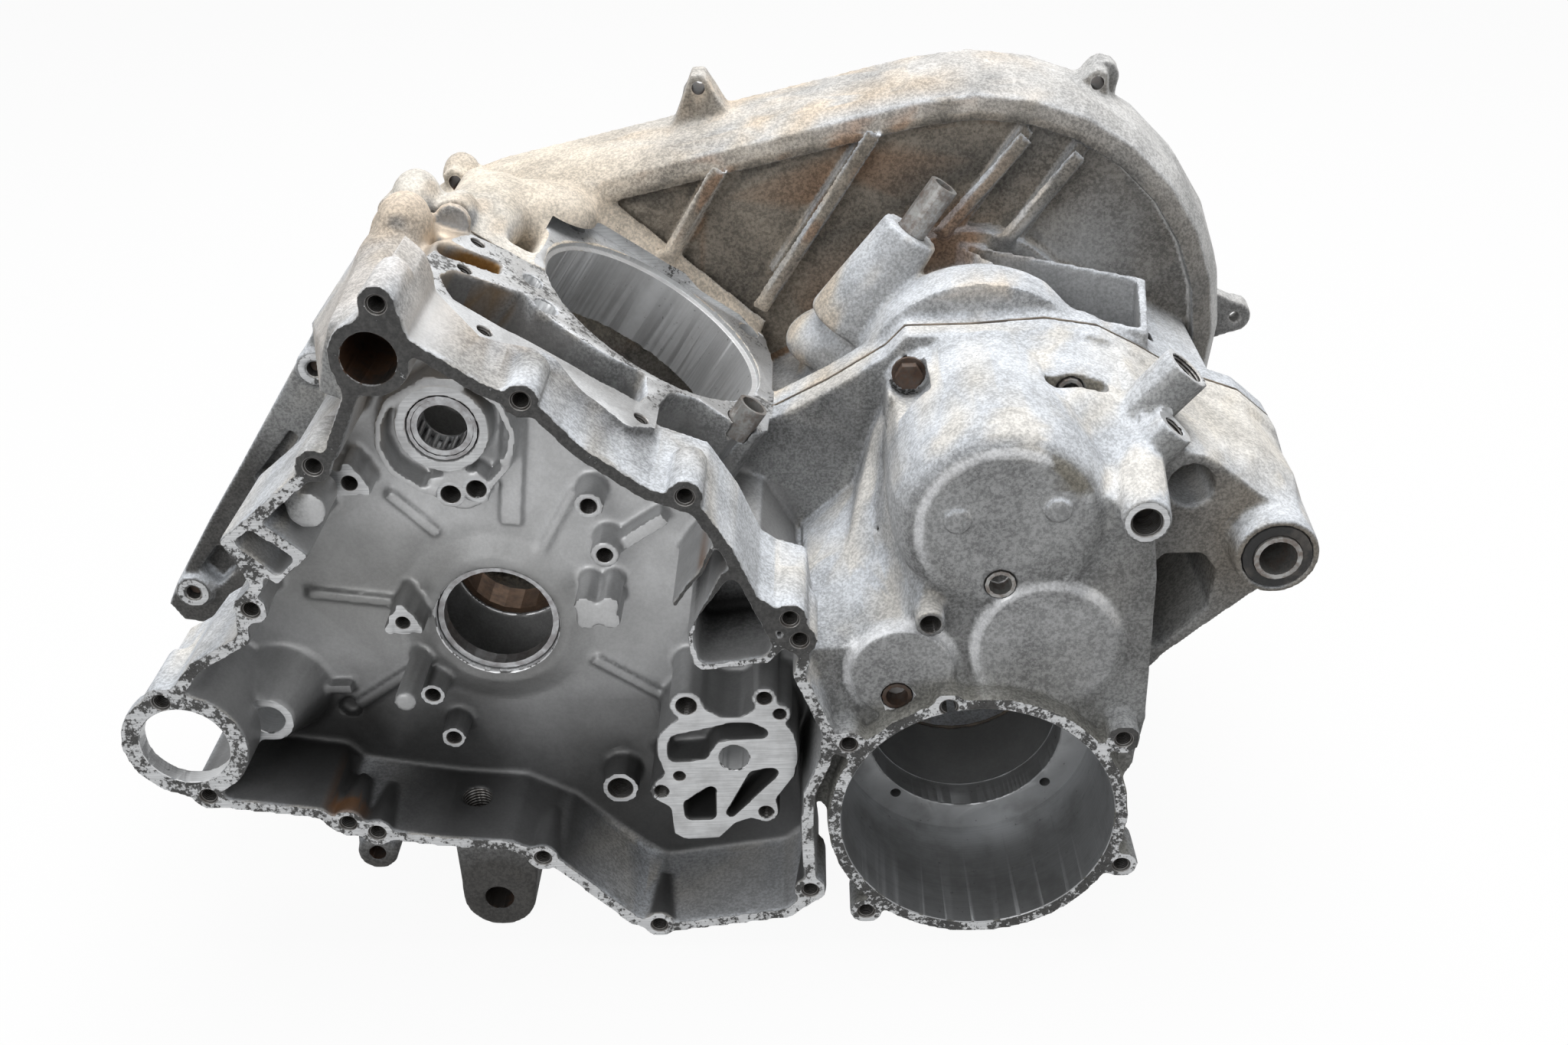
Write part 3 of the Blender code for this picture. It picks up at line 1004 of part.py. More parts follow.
def far_half():
    """Belt-side half: crank room, bearing walls, belt housing and the filler box."""
    body_end = BELT_WALL_FRONT + OVERLAP
    ear_front = BELT_FACE - EAR_DEPTH
    lug_near, lug_far = LOWER_LUG_BACK
    ears = [rim_ear(*place) for place in RIM_EARS]
    outer = [
        prism(SPLIT_OUTLINE, FAR_START, FAR_START + FLANGE),
        prism(FAR_BODY, FAR_START + FLANGE - PAST, body_end),
        deck_prism(FAR_DECK, -FAR_DECK_THICK, 0.0),
        barrel(ARCH_CENTRE, ARCH_RADIUS, FAR_START + 6.0, body_end, ROUND_SIDES),
        barrel(OUTPUT_FOOT, OUTPUT_FOOT_RADIUS, FAR_START + PAST, FAR_START + OUTPUT_FOOT_DEPTH, ROUND_SIDES),
        barrel(LOWER_LUG, LOWER_LUG_RADIUS, lug_near, lug_far, INNER_SIDES),
        prism(LOWER_LUG_WEB, lug_near + PAST, lug_far - PAST),
        rod(tube_point(-TUBE_FOOT_DEPTH), tube_point(0.0), TUBE_FOOT, RING_SIDES, TUBE_BOSS),
        filler_box(FILLER_WALL, FILLER_DEPTH, 0.0),
    ]
    outer += [
        barrel(spot, radius, near, far, PIN_SIDES, radius - LUMP_TAPER) for spot, radius, near, far in TOP_LUMPS
    ]
    outer += [barrel(spot, EAR_RADIUS, ear_front, BELT_FACE, PIN_SIDES, EAR_RADIUS + PAST) for spot in ears]
    outer += [bar(spot, ear_root(spot), 2 * EAR_RADIUS, ear_front, BELT_FACE, EAR_ROOT) for spot in ears]
    outer += [bar(a, b, RIB_WIDTH, BELT_WALL_FRONT - RIB_RISE, body_end) for a, b in BELT_RIBS]
    hollow = [
        prism(inset(FAR_BODY, CHAMBER_WALL), FAR_START - PAST, FAR_WALL_FRONT),
        filler_box(0.0, FILLER_DEPTH + FILLER_FLOOR, FILLER_PAST),
        barrel(OUTPUT_FOOT, OUTPUT_FOOT_RADIUS - OUTPUT_FOOT_WALL, FAR_START - PAST,
               FAR_START + OUTPUT_FOOT_DEPTH - 8.0, ROUND_SIDES),
    ]
    wall_end = FAR_WALL_FRONT + PAST
    inner = [
        barrel((0.0, 0.0), CRANK_FAR_BOSS, CRANK_FAR, wall_end, ROUND_SIDES, CRANK_FAR_BOSS + 6.0),
        barrel(BALANCER, BALANCER_FAR_BOSS, CRANK_FAR + 4.0, wall_end, INNER_SIDES),
        barrel(DRIVEN_SHAFT, DRIVEN_BOSS, CRANK_FAR - 10.0, wall_end, BIG_SIDES),
    ]
    drills = [
        barrel((0.0, 0.0), CRANK_SEAT, CRANK_FAR - PAST, BELT_FACE, ROUND_SIDES),
        barrel((0.0, 0.0), BELT_SHAFT_BORE, BELT_WALL_FRONT - 8.0, BELT_FACE, ROUND_SIDES),
        barrel(DRIVEN_SHAFT, DRIVEN_SEAT, CRANK_FAR - 12.0, CRANK_FAR + 8.0, BIG_SIDES),
        barrel(DRIVEN_SHAFT, DRIVEN_THROAT, CRANK_FAR, BELT_FACE, BIG_SIDES),
        barrel(BALANCER, NEEDLE_OUTER + SEAT_GAP, CRANK_FAR - PAST, CRANK_FAR + 20.0, BIG_SIDES),
        barrel(LOWER_LUG, LOWER_LUG_HOLE, lug_near - PAST, lug_far + PAST, PIN_SIDES),
        rod(tube_point(-TUBE_SUNK - PAST), tube_point(PAST), TUBE_RADIUS + SEAT_GAP, PIN_SIDES),
        bolt_rod(TOP_BOLT, FAR_START - PAST, TOP_BOLT_TIP + 2.0, BOLT_GAP),
        stud_hole(-1, 1),
        stud_hole(1, 1),
    ]
    drills += spigot_cuts()
    drills += [bolt_rod(spot, FAR_START - PAST, FAR_START + FLANGE + OVERLAP, BOLT_GAP) for spot in CASE_BOLTS]
    drills += [
        barrel(spot, CASE_DOWEL + SEAT_GAP, FAR_START - PAST, FAR_START + CASE_DOWEL_REACH + GAP, PIN_SIDES)
        for spot in (CASE_BOLTS[0], CASE_BOLTS[-1])
    ]
    drills += [barrel(spot, EAR_HOLE, ear_front - PAST, BELT_FACE + PAST, SMALL_SIDES) for spot in ears]
    steps = [
        belt_shell(),
        ("DIFFERENCE", belt_dish()),
        ("UNION", outer),
        ("DIFFERENCE", hollow),
        ("UNION", inner),
        ("DIFFERENCE", drills),
    ]
    return build("crankcase_right", steps, cast_metal, "MANIFOLD")


# Gasket, bushes, bearings, bolts and the mount

def gasket():
    near, far = SPLIT + GAP, SPLIT + GAP + GASKET
    sheet = prism(inset(SPLIT_OUTLINE, 0.2), near, far)
    holes = [
        prism(inset(CHAMBER_OUTLINE, CHAMBER_WALL), near - PAST, far + PAST),
        prism(ROOM_BACK, near - PAST, far + PAST),
        barrel(OUTPUT, OUTPUT_SEAT, near - PAST, far + PAST, ROUND_SIDES),
        rod(deck_point(0, 0, -SPIGOT_DEPTH), deck_point(0, 0, 2.0), LIP_RADIUS, ROUND_SIDES),
        bolt_rod(TOP_BOLT, near - PAST, far + PAST, BOLT_GAP),
    ]
    holes += [barrel(spot, CASE_DOWEL + SEAT_GAP, near - PAST, far + PAST, PIN_SIDES) for spot in CASE_BOLTS]
    return build("case_gasket", [sheet, ("DIFFERENCE", holes)], gasket_paper, "MANIFOLD")


def ring(name, centre, outer, inner, near, far, material, sides=ROUND_SIDES):
    return build(name, [annulus(centre, outer, inner, near, far, sides)], material)


def sleeve(name, start, end, outer, inner, material):
    start, end = Vector(start), Vector(end)
    reach = (end - start).normalized() * PAST
    hole = rod(start - reach, end + reach, inner, RING_SIDES)
    return build(name, [rod(start, end, outer, RING_SIDES), ("DIFFERENCE", [hole])], material)


def bolt_rod(spot, near, far, grow=0.0):
    """The shank of a case bolt, or its clearance hole."""
    return barrel(spot, BOLT_SHANK + grow, near, far, BOLT_SIDES)


def case_bolt(name, spot, tip, seat, forward=1.0):
    """A flange bolt along the crank axis. Its head stands on the far side of the seat."""
    head = [
        barrel(spot, BOLT_FLANGE, *sorted((seat, seat + forward * BOLT_WASHER)), 2 * BOLT_SIDES),
        barrel(spot, BOLT_HEAD, *sorted((seat, seat + forward * BOLT_HEAD_HEIGHT)), 6),
    ]
    shank = bolt_rod(spot, *sorted((tip, seat + forward * OVERLAP)))
    build(name, [shank, ("UNION", head)], rusty_steel)


def bearings():
    """Seal ring, main bushes, balancer bearings and the race of the driven shaft."""
    seat = CRANK_SEAT - SEAT_GAP
    seal = CAVITY_DEPTH - PAST
    ring("crank_seal_ring", (0.0, 0.0), seat, CRANK_RING_INNER, seal, seal + CRANK_RING_LENGTH, clean_steel)
    near, far = BEARING_FRONT + BUSH_INSET, CRANK_NEAR - BUSH_INSET
    ring("main_bush_left", (0.0, 0.0), seat, seat - BUSH_WALL, near, far, copper_metal, INNER_SIDES)
    near = CRANK_FAR + BUSH_INSET
    far = near + BUSH_BACK_LENGTH
    ring("main_bush_right", (0.0, 0.0), seat, seat - BUSH_WALL, near, far, copper_metal, INNER_SIDES)
    inner = NEEDLE_OUTER - NEEDLE_WALL
    near = BALANCER_STATION + PAST
    far = near + NEEDLE_LENGTH
    ring("balancer_bearing_shell", BALANCER, NEEDLE_OUTER, inner, near, far, clean_steel, INNER_SIDES)
    ring("balancer_bearing_cage", BALANCER, inner - SEAT_GAP, NEEDLE_INNER, near + BUSH_INSET, far - BUSH_INSET,
         clean_steel, INNER_SIDES)
    near = CRANK_FAR + PAST
    ring("balancer_bearing_right", BALANCER, NEEDLE_OUTER, NEEDLE_INNER, near, near + NEEDLE_LENGTH, clean_steel,
         INNER_SIDES)
    ring("driven_shaft_bearing_race", DRIVEN_SHAFT, DRIVEN_SEAT - SEAT_GAP, DRIVEN_RACE_INNER,
         CRANK_FAR - 9.0, CRANK_FAR - GAP, clean_steel, INNER_SIDES)


def fastenings():
    """Bolts and dowels of the case, the cylinder dowel and the breather tube."""
    across, behind = STUD_SPAN[0] / 2, -STUD_SPAN[1] / 2
    sleeve("cylinder_dowel_front", deck_point(across, behind, -DOWEL_SUNK), deck_point(across, behind, DOWEL_STANDS),
           DOWEL_OUTER, DOWEL_INNER, clean_steel)
    sleeve("breather_tube", tube_point(-TUBE_SUNK), tube_point(TUBE_STANDS), TUBE_RADIUS, TUBE_BORE, clean_steel)
    for index, spot in enumerate(CASE_BOLTS):
        tip = SPLIT - CASE_BOSS_DEPTH + 5.0
        case_bolt(f"case_bolt_{index + 1}", spot, tip, FAR_START + FLANGE + GAP)
    case_bolt("case_bolt_top", TOP_BOLT, TOP_BOLT_TIP, TOP_BOLT_SEAT - GAP, -1.0)
    for name, spot in (("case_dowel_left", CASE_BOLTS[0]), ("case_dowel_right", CASE_BOLTS[-1])):
        ring(name, spot, CASE_DOWEL, CASE_DOWEL - CASE_DOWEL_WALL, SPLIT - CASE_DOWEL_REACH,
             FAR_START + CASE_DOWEL_REACH, clean_steel, PIN_SIDES)


def bushes():
    """The two shaft bushes of the gear cover, the pad sleeve and the rear mount."""
    for name, (spot, front) in zip(("shift_shaft_bush", "lower_shaft_bush"), BUSH_SEATS):
        ring(name, spot, BUSH_SEAT - SEAT_GAP, BUSH_SEAT - 1.8, front + 0.4, front + BUSH_SEAT_DEPTH - GAP,
             rusty_steel, PIN_SIDES)
    ring("top_bolt_sleeve", PAD_HOLE, PAD_SEAT - SEAT_GAP, PAD_SEAT - SEAT_GAP - PAD_SLEEVE_WALL, PAD_FRONT - PAST,
         PAD_FRONT + PAD_DEPTH - PAST, clean_steel, PIN_SIDES)
    near, far = LUG_FRONT + 2 * GAP, LUG_FRONT + LUG_DEPTH
    ring("rear_mount_bush_rubber", RIGHT_LUG, LUG_BORE - SEAT_GAP, LUG_SLEEVE + SEAT_GAP, near, far - 2.0, rubber,
         INNER_SIDES)
    ring("rear_mount_bush_sleeve", RIGHT_LUG, LUG_SLEEVE, LUG_SLEEVE_BORE, LUG_FRONT - 2 * GAP, far - PAST,
         rusty_steel, INNER_SIDES)


clear_scene()
near_half()
far_half()
gasket()
bearings()
fastenings()
bushes()
bench = Matrix.Translation(Vector((PLACE[0], PLACE[1], CRANK_HEIGHT)) * MM)
for item in list(bpy.data.objects):
    item.matrix_world = bench @ item.matrix_world
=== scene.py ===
# %% [markdown]
# # An engine crankcase, dressed
#
# The object is the bare crankcase of a small utility engine: two sand-and-dirt-worn aluminium
# castings bolted back to back, with a few steel bushes, dowels and bolts left in them. The
# solids come packed from the construction script. This lesson gives them what a solid model
# lacks: the soft edges that a mould leaves, the crisp edges that a milling cutter leaves, the
# grey oxide, the brown dirt and the rust.
#
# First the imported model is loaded. It is a fixed frame: nothing in it is moved, and every new
# piece is made around it, in metres.

import math
import json
import bpy
import bmesh
import numpy as np
from mathutils import Matrix, Vector

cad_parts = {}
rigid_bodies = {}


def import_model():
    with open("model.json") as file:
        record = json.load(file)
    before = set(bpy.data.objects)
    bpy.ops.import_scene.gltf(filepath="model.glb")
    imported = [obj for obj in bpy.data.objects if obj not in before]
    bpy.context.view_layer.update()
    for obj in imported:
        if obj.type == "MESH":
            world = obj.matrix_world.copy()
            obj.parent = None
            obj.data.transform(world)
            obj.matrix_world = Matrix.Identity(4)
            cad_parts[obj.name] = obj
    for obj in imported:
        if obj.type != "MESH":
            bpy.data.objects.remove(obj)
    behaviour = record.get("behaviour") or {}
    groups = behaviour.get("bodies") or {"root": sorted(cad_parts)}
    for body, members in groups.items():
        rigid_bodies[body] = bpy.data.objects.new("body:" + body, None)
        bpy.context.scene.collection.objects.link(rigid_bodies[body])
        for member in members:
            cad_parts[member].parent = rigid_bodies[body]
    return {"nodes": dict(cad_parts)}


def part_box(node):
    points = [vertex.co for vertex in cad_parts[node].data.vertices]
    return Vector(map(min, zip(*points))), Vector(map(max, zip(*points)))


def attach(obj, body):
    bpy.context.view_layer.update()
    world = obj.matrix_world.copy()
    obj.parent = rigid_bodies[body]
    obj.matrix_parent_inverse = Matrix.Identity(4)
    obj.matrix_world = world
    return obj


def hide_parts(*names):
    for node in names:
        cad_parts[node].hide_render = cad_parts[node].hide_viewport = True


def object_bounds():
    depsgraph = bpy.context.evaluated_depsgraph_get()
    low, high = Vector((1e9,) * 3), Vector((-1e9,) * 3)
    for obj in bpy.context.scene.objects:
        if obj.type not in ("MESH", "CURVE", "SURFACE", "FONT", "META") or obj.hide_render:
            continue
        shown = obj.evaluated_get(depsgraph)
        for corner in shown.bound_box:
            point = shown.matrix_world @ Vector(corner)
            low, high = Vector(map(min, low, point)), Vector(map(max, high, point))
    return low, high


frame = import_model()
cad_low, cad_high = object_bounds()
nodes = frame["nodes"]
print("nodes:", len(nodes))
print("box:", [round(1000 * x) for x in cad_high - cad_low], "mm")

# %% [markdown]
# Every size below is written in millimetres from the crankshaft's axis, where a machinist
# would put the zero: x to the right, y back from the generator cover's face, z up. One vector
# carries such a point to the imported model's metres.

# %% Millimetres from the crankshaft
MM = 0.001
CRANK = Vector((-93.5, -125.0, 144.0)) * MM


def at(x, y, z):
    return Vector((x, y, z)) * MM + CRANK


print("crankshaft axis:", [round(v, 4) for v in at(0, 0, 0)])

# %% [markdown]
# The camera stands a little right of the crankshaft and looks down at about 30 degrees, which
# is the way that the parts lie in the reference photograph. Its three axes are written out
# because a camera that is solved from many bolt holes also rolls a little.

# %% Camera
VIEW_RIGHT = Vector((0.99946, 0.01031, -0.03121))
VIEW_UP = Vector((0.02197, 0.49661, 0.8677))
VIEW_FORWARD = Vector((-0.02444, 0.86791, -0.49611))
VIEW_FROM = (136.5, -518.2, 364.3)
FOCAL_PIXELS = 2100.0
PICTURE_WIDTH = 2048.0
SENSOR = 36.0

camera = bpy.data.objects.new("camera", bpy.data.cameras.new("camera"))
bpy.context.scene.collection.objects.link(camera)
turned = Matrix((VIEW_RIGHT, VIEW_UP, -VIEW_FORWARD)).transposed().to_4x4()
camera.matrix_world = Matrix.Translation(at(*VIEW_FROM)) @ turned
camera.data.sensor_width = SENSOR
camera.data.lens = SENSOR * FOCAL_PIXELS / PICTURE_WIDTH
camera.data.clip_start = 0.01
bpy.context.scene.camera = camera
print("lens:", round(camera.data.lens, 2), "mm")

# %% [markdown]
# The light is a plain studio set: one big soft panel overhead and a little behind, which makes
# every upward face pale and leaves the front ones darker, and a weak panel in front. Soft lamps
# suit old castings, because a hard one would draw a bright edge on every rounded corner.

# %% Lamps
MIDDLE = (cad_low + cad_high) / 2
PANELS = {
    "light_over": {"away": Vector((0.15, 0.35, 1.5)), "width": 1.5, "power": 27.5},
    "light_front": {"away": Vector((-0.6, -1.6, 0.9)), "width": 1.0, "power": 8.5},
}


def panel(name, away, width, power):
    """A round soft lamp, some metres away from the part's middle and aimed at it."""
    lamp = bpy.data.lights.new(name, "AREA")
    lamp.shape = "DISK"
    lamp.size = width
    lamp.energy = power
    holder = bpy.data.objects.new(name, lamp)
    bpy.context.scene.collection.objects.link(holder)
    place = MIDDLE + away
    holder.location = place
    holder.rotation_euler = (MIDDLE - place).to_track_quat("-Z", "Y").to_euler()


for name, settings in PANELS.items():
    panel(name, **settings)
print("lamps:", list(PANELS))

# %% [markdown]
# The ground behind the part is white, but a white world would light the part from all sides and
# wash out its dark rooms. So the world and the floor are white only where the camera looks
# straight at them or sees them mirrored in metal, and dim for all other rays. Blender's Light
# Path node tells the rays apart.

# %% World
SKY_LIGHT = 0.25
SKY_WHITE = 0.97


def looked_at(tree):
    """1 for a ray that comes from the camera or off a glossy or clear surface, else 0."""
    rays = tree.nodes.new("ShaderNodeLightPath")
    total = rays.outputs["Is Camera Ray"]
    for kind in ("Is Glossy Ray", "Is Transmission Ray"):
        either = tree.nodes.new("ShaderNodeMath")
        either.operation = "MAXIMUM"
        tree.links.new(total, either.inputs[0])
        tree.links.new(rays.outputs[kind], either.inputs[1])
        total = either.outputs[0]
    return total


world = bpy.data.worlds.new("studio")
bpy.context.scene.world = world
world.use_nodes = True
air = world.node_tree
ambient = air.nodes["Background"]
ambient.inputs["Color"].default_value = (1.0, 1.0, 1.0, 1.0)
strength = air.nodes.new("ShaderNodeMath")
strength.operation = "MULTIPLY_ADD"
air.links.new(looked_at(air), strength.inputs[0])
strength.inputs[1].default_value = SKY_WHITE - SKY_LIGHT
strength.inputs[2].default_value = SKY_LIGHT
air.links.new(strength.outputs[0], ambient.inputs["Strength"])
bpy.context.scene.view_settings.view_transform = "Standard"
print("world:", SKY_LIGHT, "as light and", SKY_WHITE, "as a ground")

# %% [markdown]
# The floor is a plain sheet with the same switch. To the camera it is mostly glow with a little
# white paper in it, and the paper is what shows the part's shadow. To the part it is a grey
# sheet, so the underside stays dark, as it does on a workbench.

# %% Floor
FLOOR_SIZE = 12.0
FLOOR_GAP = 0.0005
FLOOR_GLOW = 0.94
FLOOR_WHITE = 0.9
FLOOR_GREY = 0.3

bpy.ops.mesh.primitive_plane_add(size=FLOOR_SIZE, location=(0.0, 0.0, cad_low.z - FLOOR_GAP))
floor = bpy.context.object
floor.name = "floor"

paper = bpy.data.materials.new("paper_floor")
paper.use_nodes = True
tree = paper.node_tree
matt = tree.nodes["Principled BSDF"]
matt.inputs["Base Color"].default_value = (FLOOR_GREY, FLOOR_GREY, FLOOR_GREY, 1.0)
matt.inputs["Roughness"].default_value = 0.9
white = tree.nodes.new("ShaderNodeBsdfDiffuse")
white.inputs["Color"].default_value = (FLOOR_WHITE, FLOOR_WHITE, FLOOR_WHITE, 1.0)
glow = tree.nodes.new("ShaderNodeEmission")
ground = tree.nodes.new("ShaderNodeMixShader")
ground.inputs["Fac"].default_value = FLOOR_GLOW
tree.links.new(white.outputs[0], ground.inputs[1])
tree.links.new(glow.outputs[0], ground.inputs[2])
switch = tree.nodes.new("ShaderNodeMixShader")
tree.links.new(looked_at(tree), switch.inputs["Fac"])
tree.links.new(matt.outputs[0], switch.inputs[1])
tree.links.new(ground.outputs[0], switch.inputs[2])
tree.links.new(switch.outputs[0], tree.nodes["Material Output"].inputs["Surface"])
floor.data.materials.append(paper)
print("floor at", round(floor.location.z * 1000, 1), "mm")

# %% [markdown]
# ## A small kit for writing materials
#
# Each finish is a stack of layers: a base colour, then patches mixed over it through masks of
# noise, or of how hidden a spot is. The helper keeps one node tree and adds to it, so that each
# finish below reads as a recipe.

# %% A recipe helper
class Finish:
    """One material's node tree, with short calls for its layers."""

    def __init__(self, name):
        self.material = bpy.data.materials.new(name)
        self.material.use_nodes = True
        self.tree = self.material.node_tree
        self.shader = self.tree.nodes["Principled BSDF"]
        self.place = self.tree.nodes.new("ShaderNodeTexCoord").outputs["Object"]

    def node(self, kind, **settings):
        made = self.tree.nodes.new(kind)
        for key, value in settings.items():
            setattr(made, key, value)
        return made

    def feed(self, socket, value):
        """Gives a socket another node's output, a number or a colour."""
        if isinstance(value, bpy.types.NodeSocket):
            self.tree.links.new(value, socket)
        elif isinstance(value, (tuple, list)) and len(value) == 3 and socket.type == "RGBA":
            socket.default_value = (*value, 1.0)
        else:
            socket.default_value = value

    def noise(self, size, detail=4.0, roughness=0.6, stretch=(1.0, 1.0, 1.0)):
        """Noise whose patches are about size millimetres across, from 0 to 1."""
        moved = self.node("ShaderNodeMapping")
        moved.inputs["Scale"].default_value = stretch
        self.feed(moved.inputs["Vector"], self.place)
        made = self.node("ShaderNodeTexNoise")
        self.feed(made.inputs["Vector"], moved.outputs[0])
        made.inputs["Scale"].default_value = 1000.0 / size
        made.inputs["Detail"].default_value = detail
        made.inputs["Roughness"].default_value = roughness
        return made.outputs["Fac"]

    def cells(self, size):
        """How far a spot is from the middle of its cell, where cells are size millimetres apart."""
        made = self.node("ShaderNodeTexVoronoi")
        self.feed(made.inputs["Vector"], self.place)
        made.inputs["Scale"].default_value = 1000.0 / size
        return made.outputs["Distance"]

    def step(self, value, low, high):
        """0 below low and 1 above high, with a smooth rise between."""
        made = self.node("ShaderNodeMapRange", interpolation_type="SMOOTHSTEP")
        self.feed(made.inputs["Value"], value)
        made.inputs["From Min"].default_value = low
        made.inputs["From Max"].default_value = high
        return made.outputs["Result"]

    def maths(self, operation, a, b):
        made = self.node("ShaderNodeMath", operation=operation)
        self.feed(made.inputs[0], a)
        self.feed(made.inputs[1], b)
        return made.outputs[0]

    def plus(self, a, b):
        return self.maths("ADD", a, b)

    def minus(self, a, b):
        return self.maths("SUBTRACT", a, b)

    def times(self, a, b):
        return self.maths("MULTIPLY", a, b)

    def mix(self, mask, under, over):
        """The colour under where the mask is 0, and the colour over where it is 1."""
        made = self.node("ShaderNodeMix", data_type="RGBA")
        self.feed(made.inputs[0], mask)
        self.feed(made.inputs[6], under)
        self.feed(made.inputs[7], over)
        return made.outputs[2]

    def painted(self, name, part="Color"):
        """What the brushes further down have laid on the points of the mesh."""
        return self.node("ShaderNodeAttribute", attribute_name=name).outputs[part]

    def grey(self, colour):
        """How light a colour is."""
        made = self.node("ShaderNodeRGBToBW")
        self.feed(made.inputs[0], colour)
        return made.outputs[0]

    def grow(self, colour, factor):
        """The colour made lighter or darker by a factor."""
        made = self.node("ShaderNodeVectorMath", operation="SCALE")
        self.feed(made.inputs[0], colour)
        self.feed(made.inputs["Scale"], factor)
        return made.outputs[0]

    def along(self, direction):
        """How far a spot lies along a direction, in metres."""
        made = self.node("ShaderNodeVectorMath", operation="DOT_PRODUCT")
        self.feed(made.inputs[0], self.place)
        made.inputs[1].default_value = direction
        return made.outputs["Value"]

    def hidden(self, reach):
        """1 deep in a corner or a hollow, 0 in the open, looked for within reach millimetres."""
        made = self.node("ShaderNodeAmbientOcclusion", samples=8)
        made.inputs["Distance"].default_value = reach * MM
        return self.minus(1.0, made.outputs["AO"])

    def done(self, colour, roughness, metallic, bump, strength, depth):
        """Joins the layers to the shader. The bump is depth millimetres high."""
        self.feed(self.shader.inputs["Base Color"], colour)
        self.feed(self.shader.inputs["Roughness"], roughness)
        self.feed(self.shader.inputs["Metallic"], metallic)
        relief = self.node("ShaderNodeBump")
        relief.inputs["Strength"].default_value = strength
        relief.inputs["Distance"].default_value = depth * MM
        self.feed(relief.inputs["Height"], bump)
        self.feed(self.shader.inputs["Normal"], relief.outputs[0])
        return self.material


print("recipe helper ready")

# %% [markdown]
# ## The finishes
#
# Cast aluminium that has lived under a machine is not shiny. Its skin is a fine salt-and-pepper
# grain of pale oxide over grey metal. The broad tones are painted on the mesh further down, so
# this recipe takes that paint and breaks it up: grain and clouds first, then small dark pits,
# and dirt with painted shade in the folds, darker where the surface is hidden. The grain is
# strongest on dark metal that nobody has cleaned.

# %% Cast aluminium
DARK_GRIME = (0.035, 0.033, 0.03)


def cast_finish():
    f = Finish("cast_aluminium_skin")
    paint = f.painted("paint")
    clean = f.painted("clean", "Fac")
    rough = f.minus(1.0, clean)
    grain = f.noise(1.3, detail=3.0, roughness=0.7)
    clumps = f.noise(3.6, detail=5.0, roughness=0.7)
    clouds = f.noise(30.0, detail=5.0, roughness=0.62)

    salt = f.step(f.plus(f.times(grain, 0.65), f.times(clumps, 0.35)), 0.4, 0.6)
    depth = f.minus(0.72, f.times(f.grey(paint), 0.62))
    salt = f.times(f.minus(salt, 0.5), f.plus(0.1, f.times(rough, depth)))
    broad = f.minus(f.step(clouds, 0.36, 0.64), 0.5)
    broad = f.times(broad, f.plus(0.16, f.times(rough, 0.14)))
    colour = f.grow(paint, f.plus(f.plus(1.0, salt), broad))

    pits = f.times(f.step(f.cells(3.2), 0.13, 0.04), f.step(clumps, 0.5, 0.6))
    colour = f.mix(f.times(pits, f.times(rough, 0.75)), colour, DARK_GRIME)
    # Painted shade with dirt: the folds darken by how hidden they are.
    folds_dirt_and_shade = f.step(f.hidden(9.0), 0.45, 0.95)
    colour = f.mix(f.times(folds_dirt_and_shade, 0.55), colour, DARK_GRIME)

    dull = f.minus(0.76, f.times(clean, 0.3))
    dull = f.plus(dull, f.times(f.minus(clumps, 0.5), 0.25))
    metal = f.plus(0.08, f.times(clean, 0.42))
    height = f.plus(f.times(grain, 0.7), f.times(clumps, 0.9))
    height = f.times(height, f.plus(0.2, rough))
    return f.done(colour, dull, metal, height, 0.6, 0.5)


cast = cast_finish()
print("made:", cast.name)

# %% [markdown]
# A milled face is bright, with fine curved tool marks, but the old gasket has baked onto it and
# left dark flecks. How much of it is left is painted on the mesh as well, because it came off
# cleanly in some places and not in others.

# %% Milled faces
MILL_MARK = (0.55, 0.56, 0.57)
MILL_BRIGHT = (0.72, 0.73, 0.74)
MILL_STAIN = (0.33, 0.33, 0.33)
GASKET_BLACK = (0.025, 0.024, 0.023)
GASKET_GREY = (0.09, 0.088, 0.085)


def faced_finish():
    f = Finish("milled_face")
    flecks = f.noise(1.9, detail=6.0, roughness=0.7)
    broad = f.noise(16.0, detail=5.0, roughness=0.6)
    sweep = f.noise(0.6, detail=2.0, stretch=(0.04, 1.0, 1.0))
    metal = f.mix(f.step(sweep, 0.3, 0.7), MILL_MARK, MILL_BRIGHT)
    metal = f.mix(f.times(f.step(broad, 0.42, 0.66), 0.45), metal, MILL_STAIN)

    baked = f.times(f.painted("baked", "Fac"), 0.42)
    edge = f.plus(baked, f.times(f.minus(broad, 0.5), 0.75))
    left = f.step(f.plus(flecks, edge), 0.62, 0.7)
    black = f.mix(f.step(flecks, 0.35, 0.7), GASKET_BLACK, GASKET_GREY)
    colour = f.mix(f.times(left, 0.94), metal, black)
    rough = f.plus(0.38, f.times(left, 0.4))
    shine = f.times(f.minus(1.0, left), 0.55)
    return f.done(colour, rough, shine, f.plus(flecks, f.times(sweep, 0.2)), 0.3, 0.12)


faced = faced_finish()
print("made:", faced.name)

# %% [markdown]
# A bore has rings round it from the boring bar. Noise that is stretched along two axes and kept
# fine along the third makes them in one node. Oil darkens a bore in broad smears, and the bolt
# holes at the bottom are stained brown.

# %% Bored holes
STAIN_BROWN = (0.2, 0.075, 0.02)


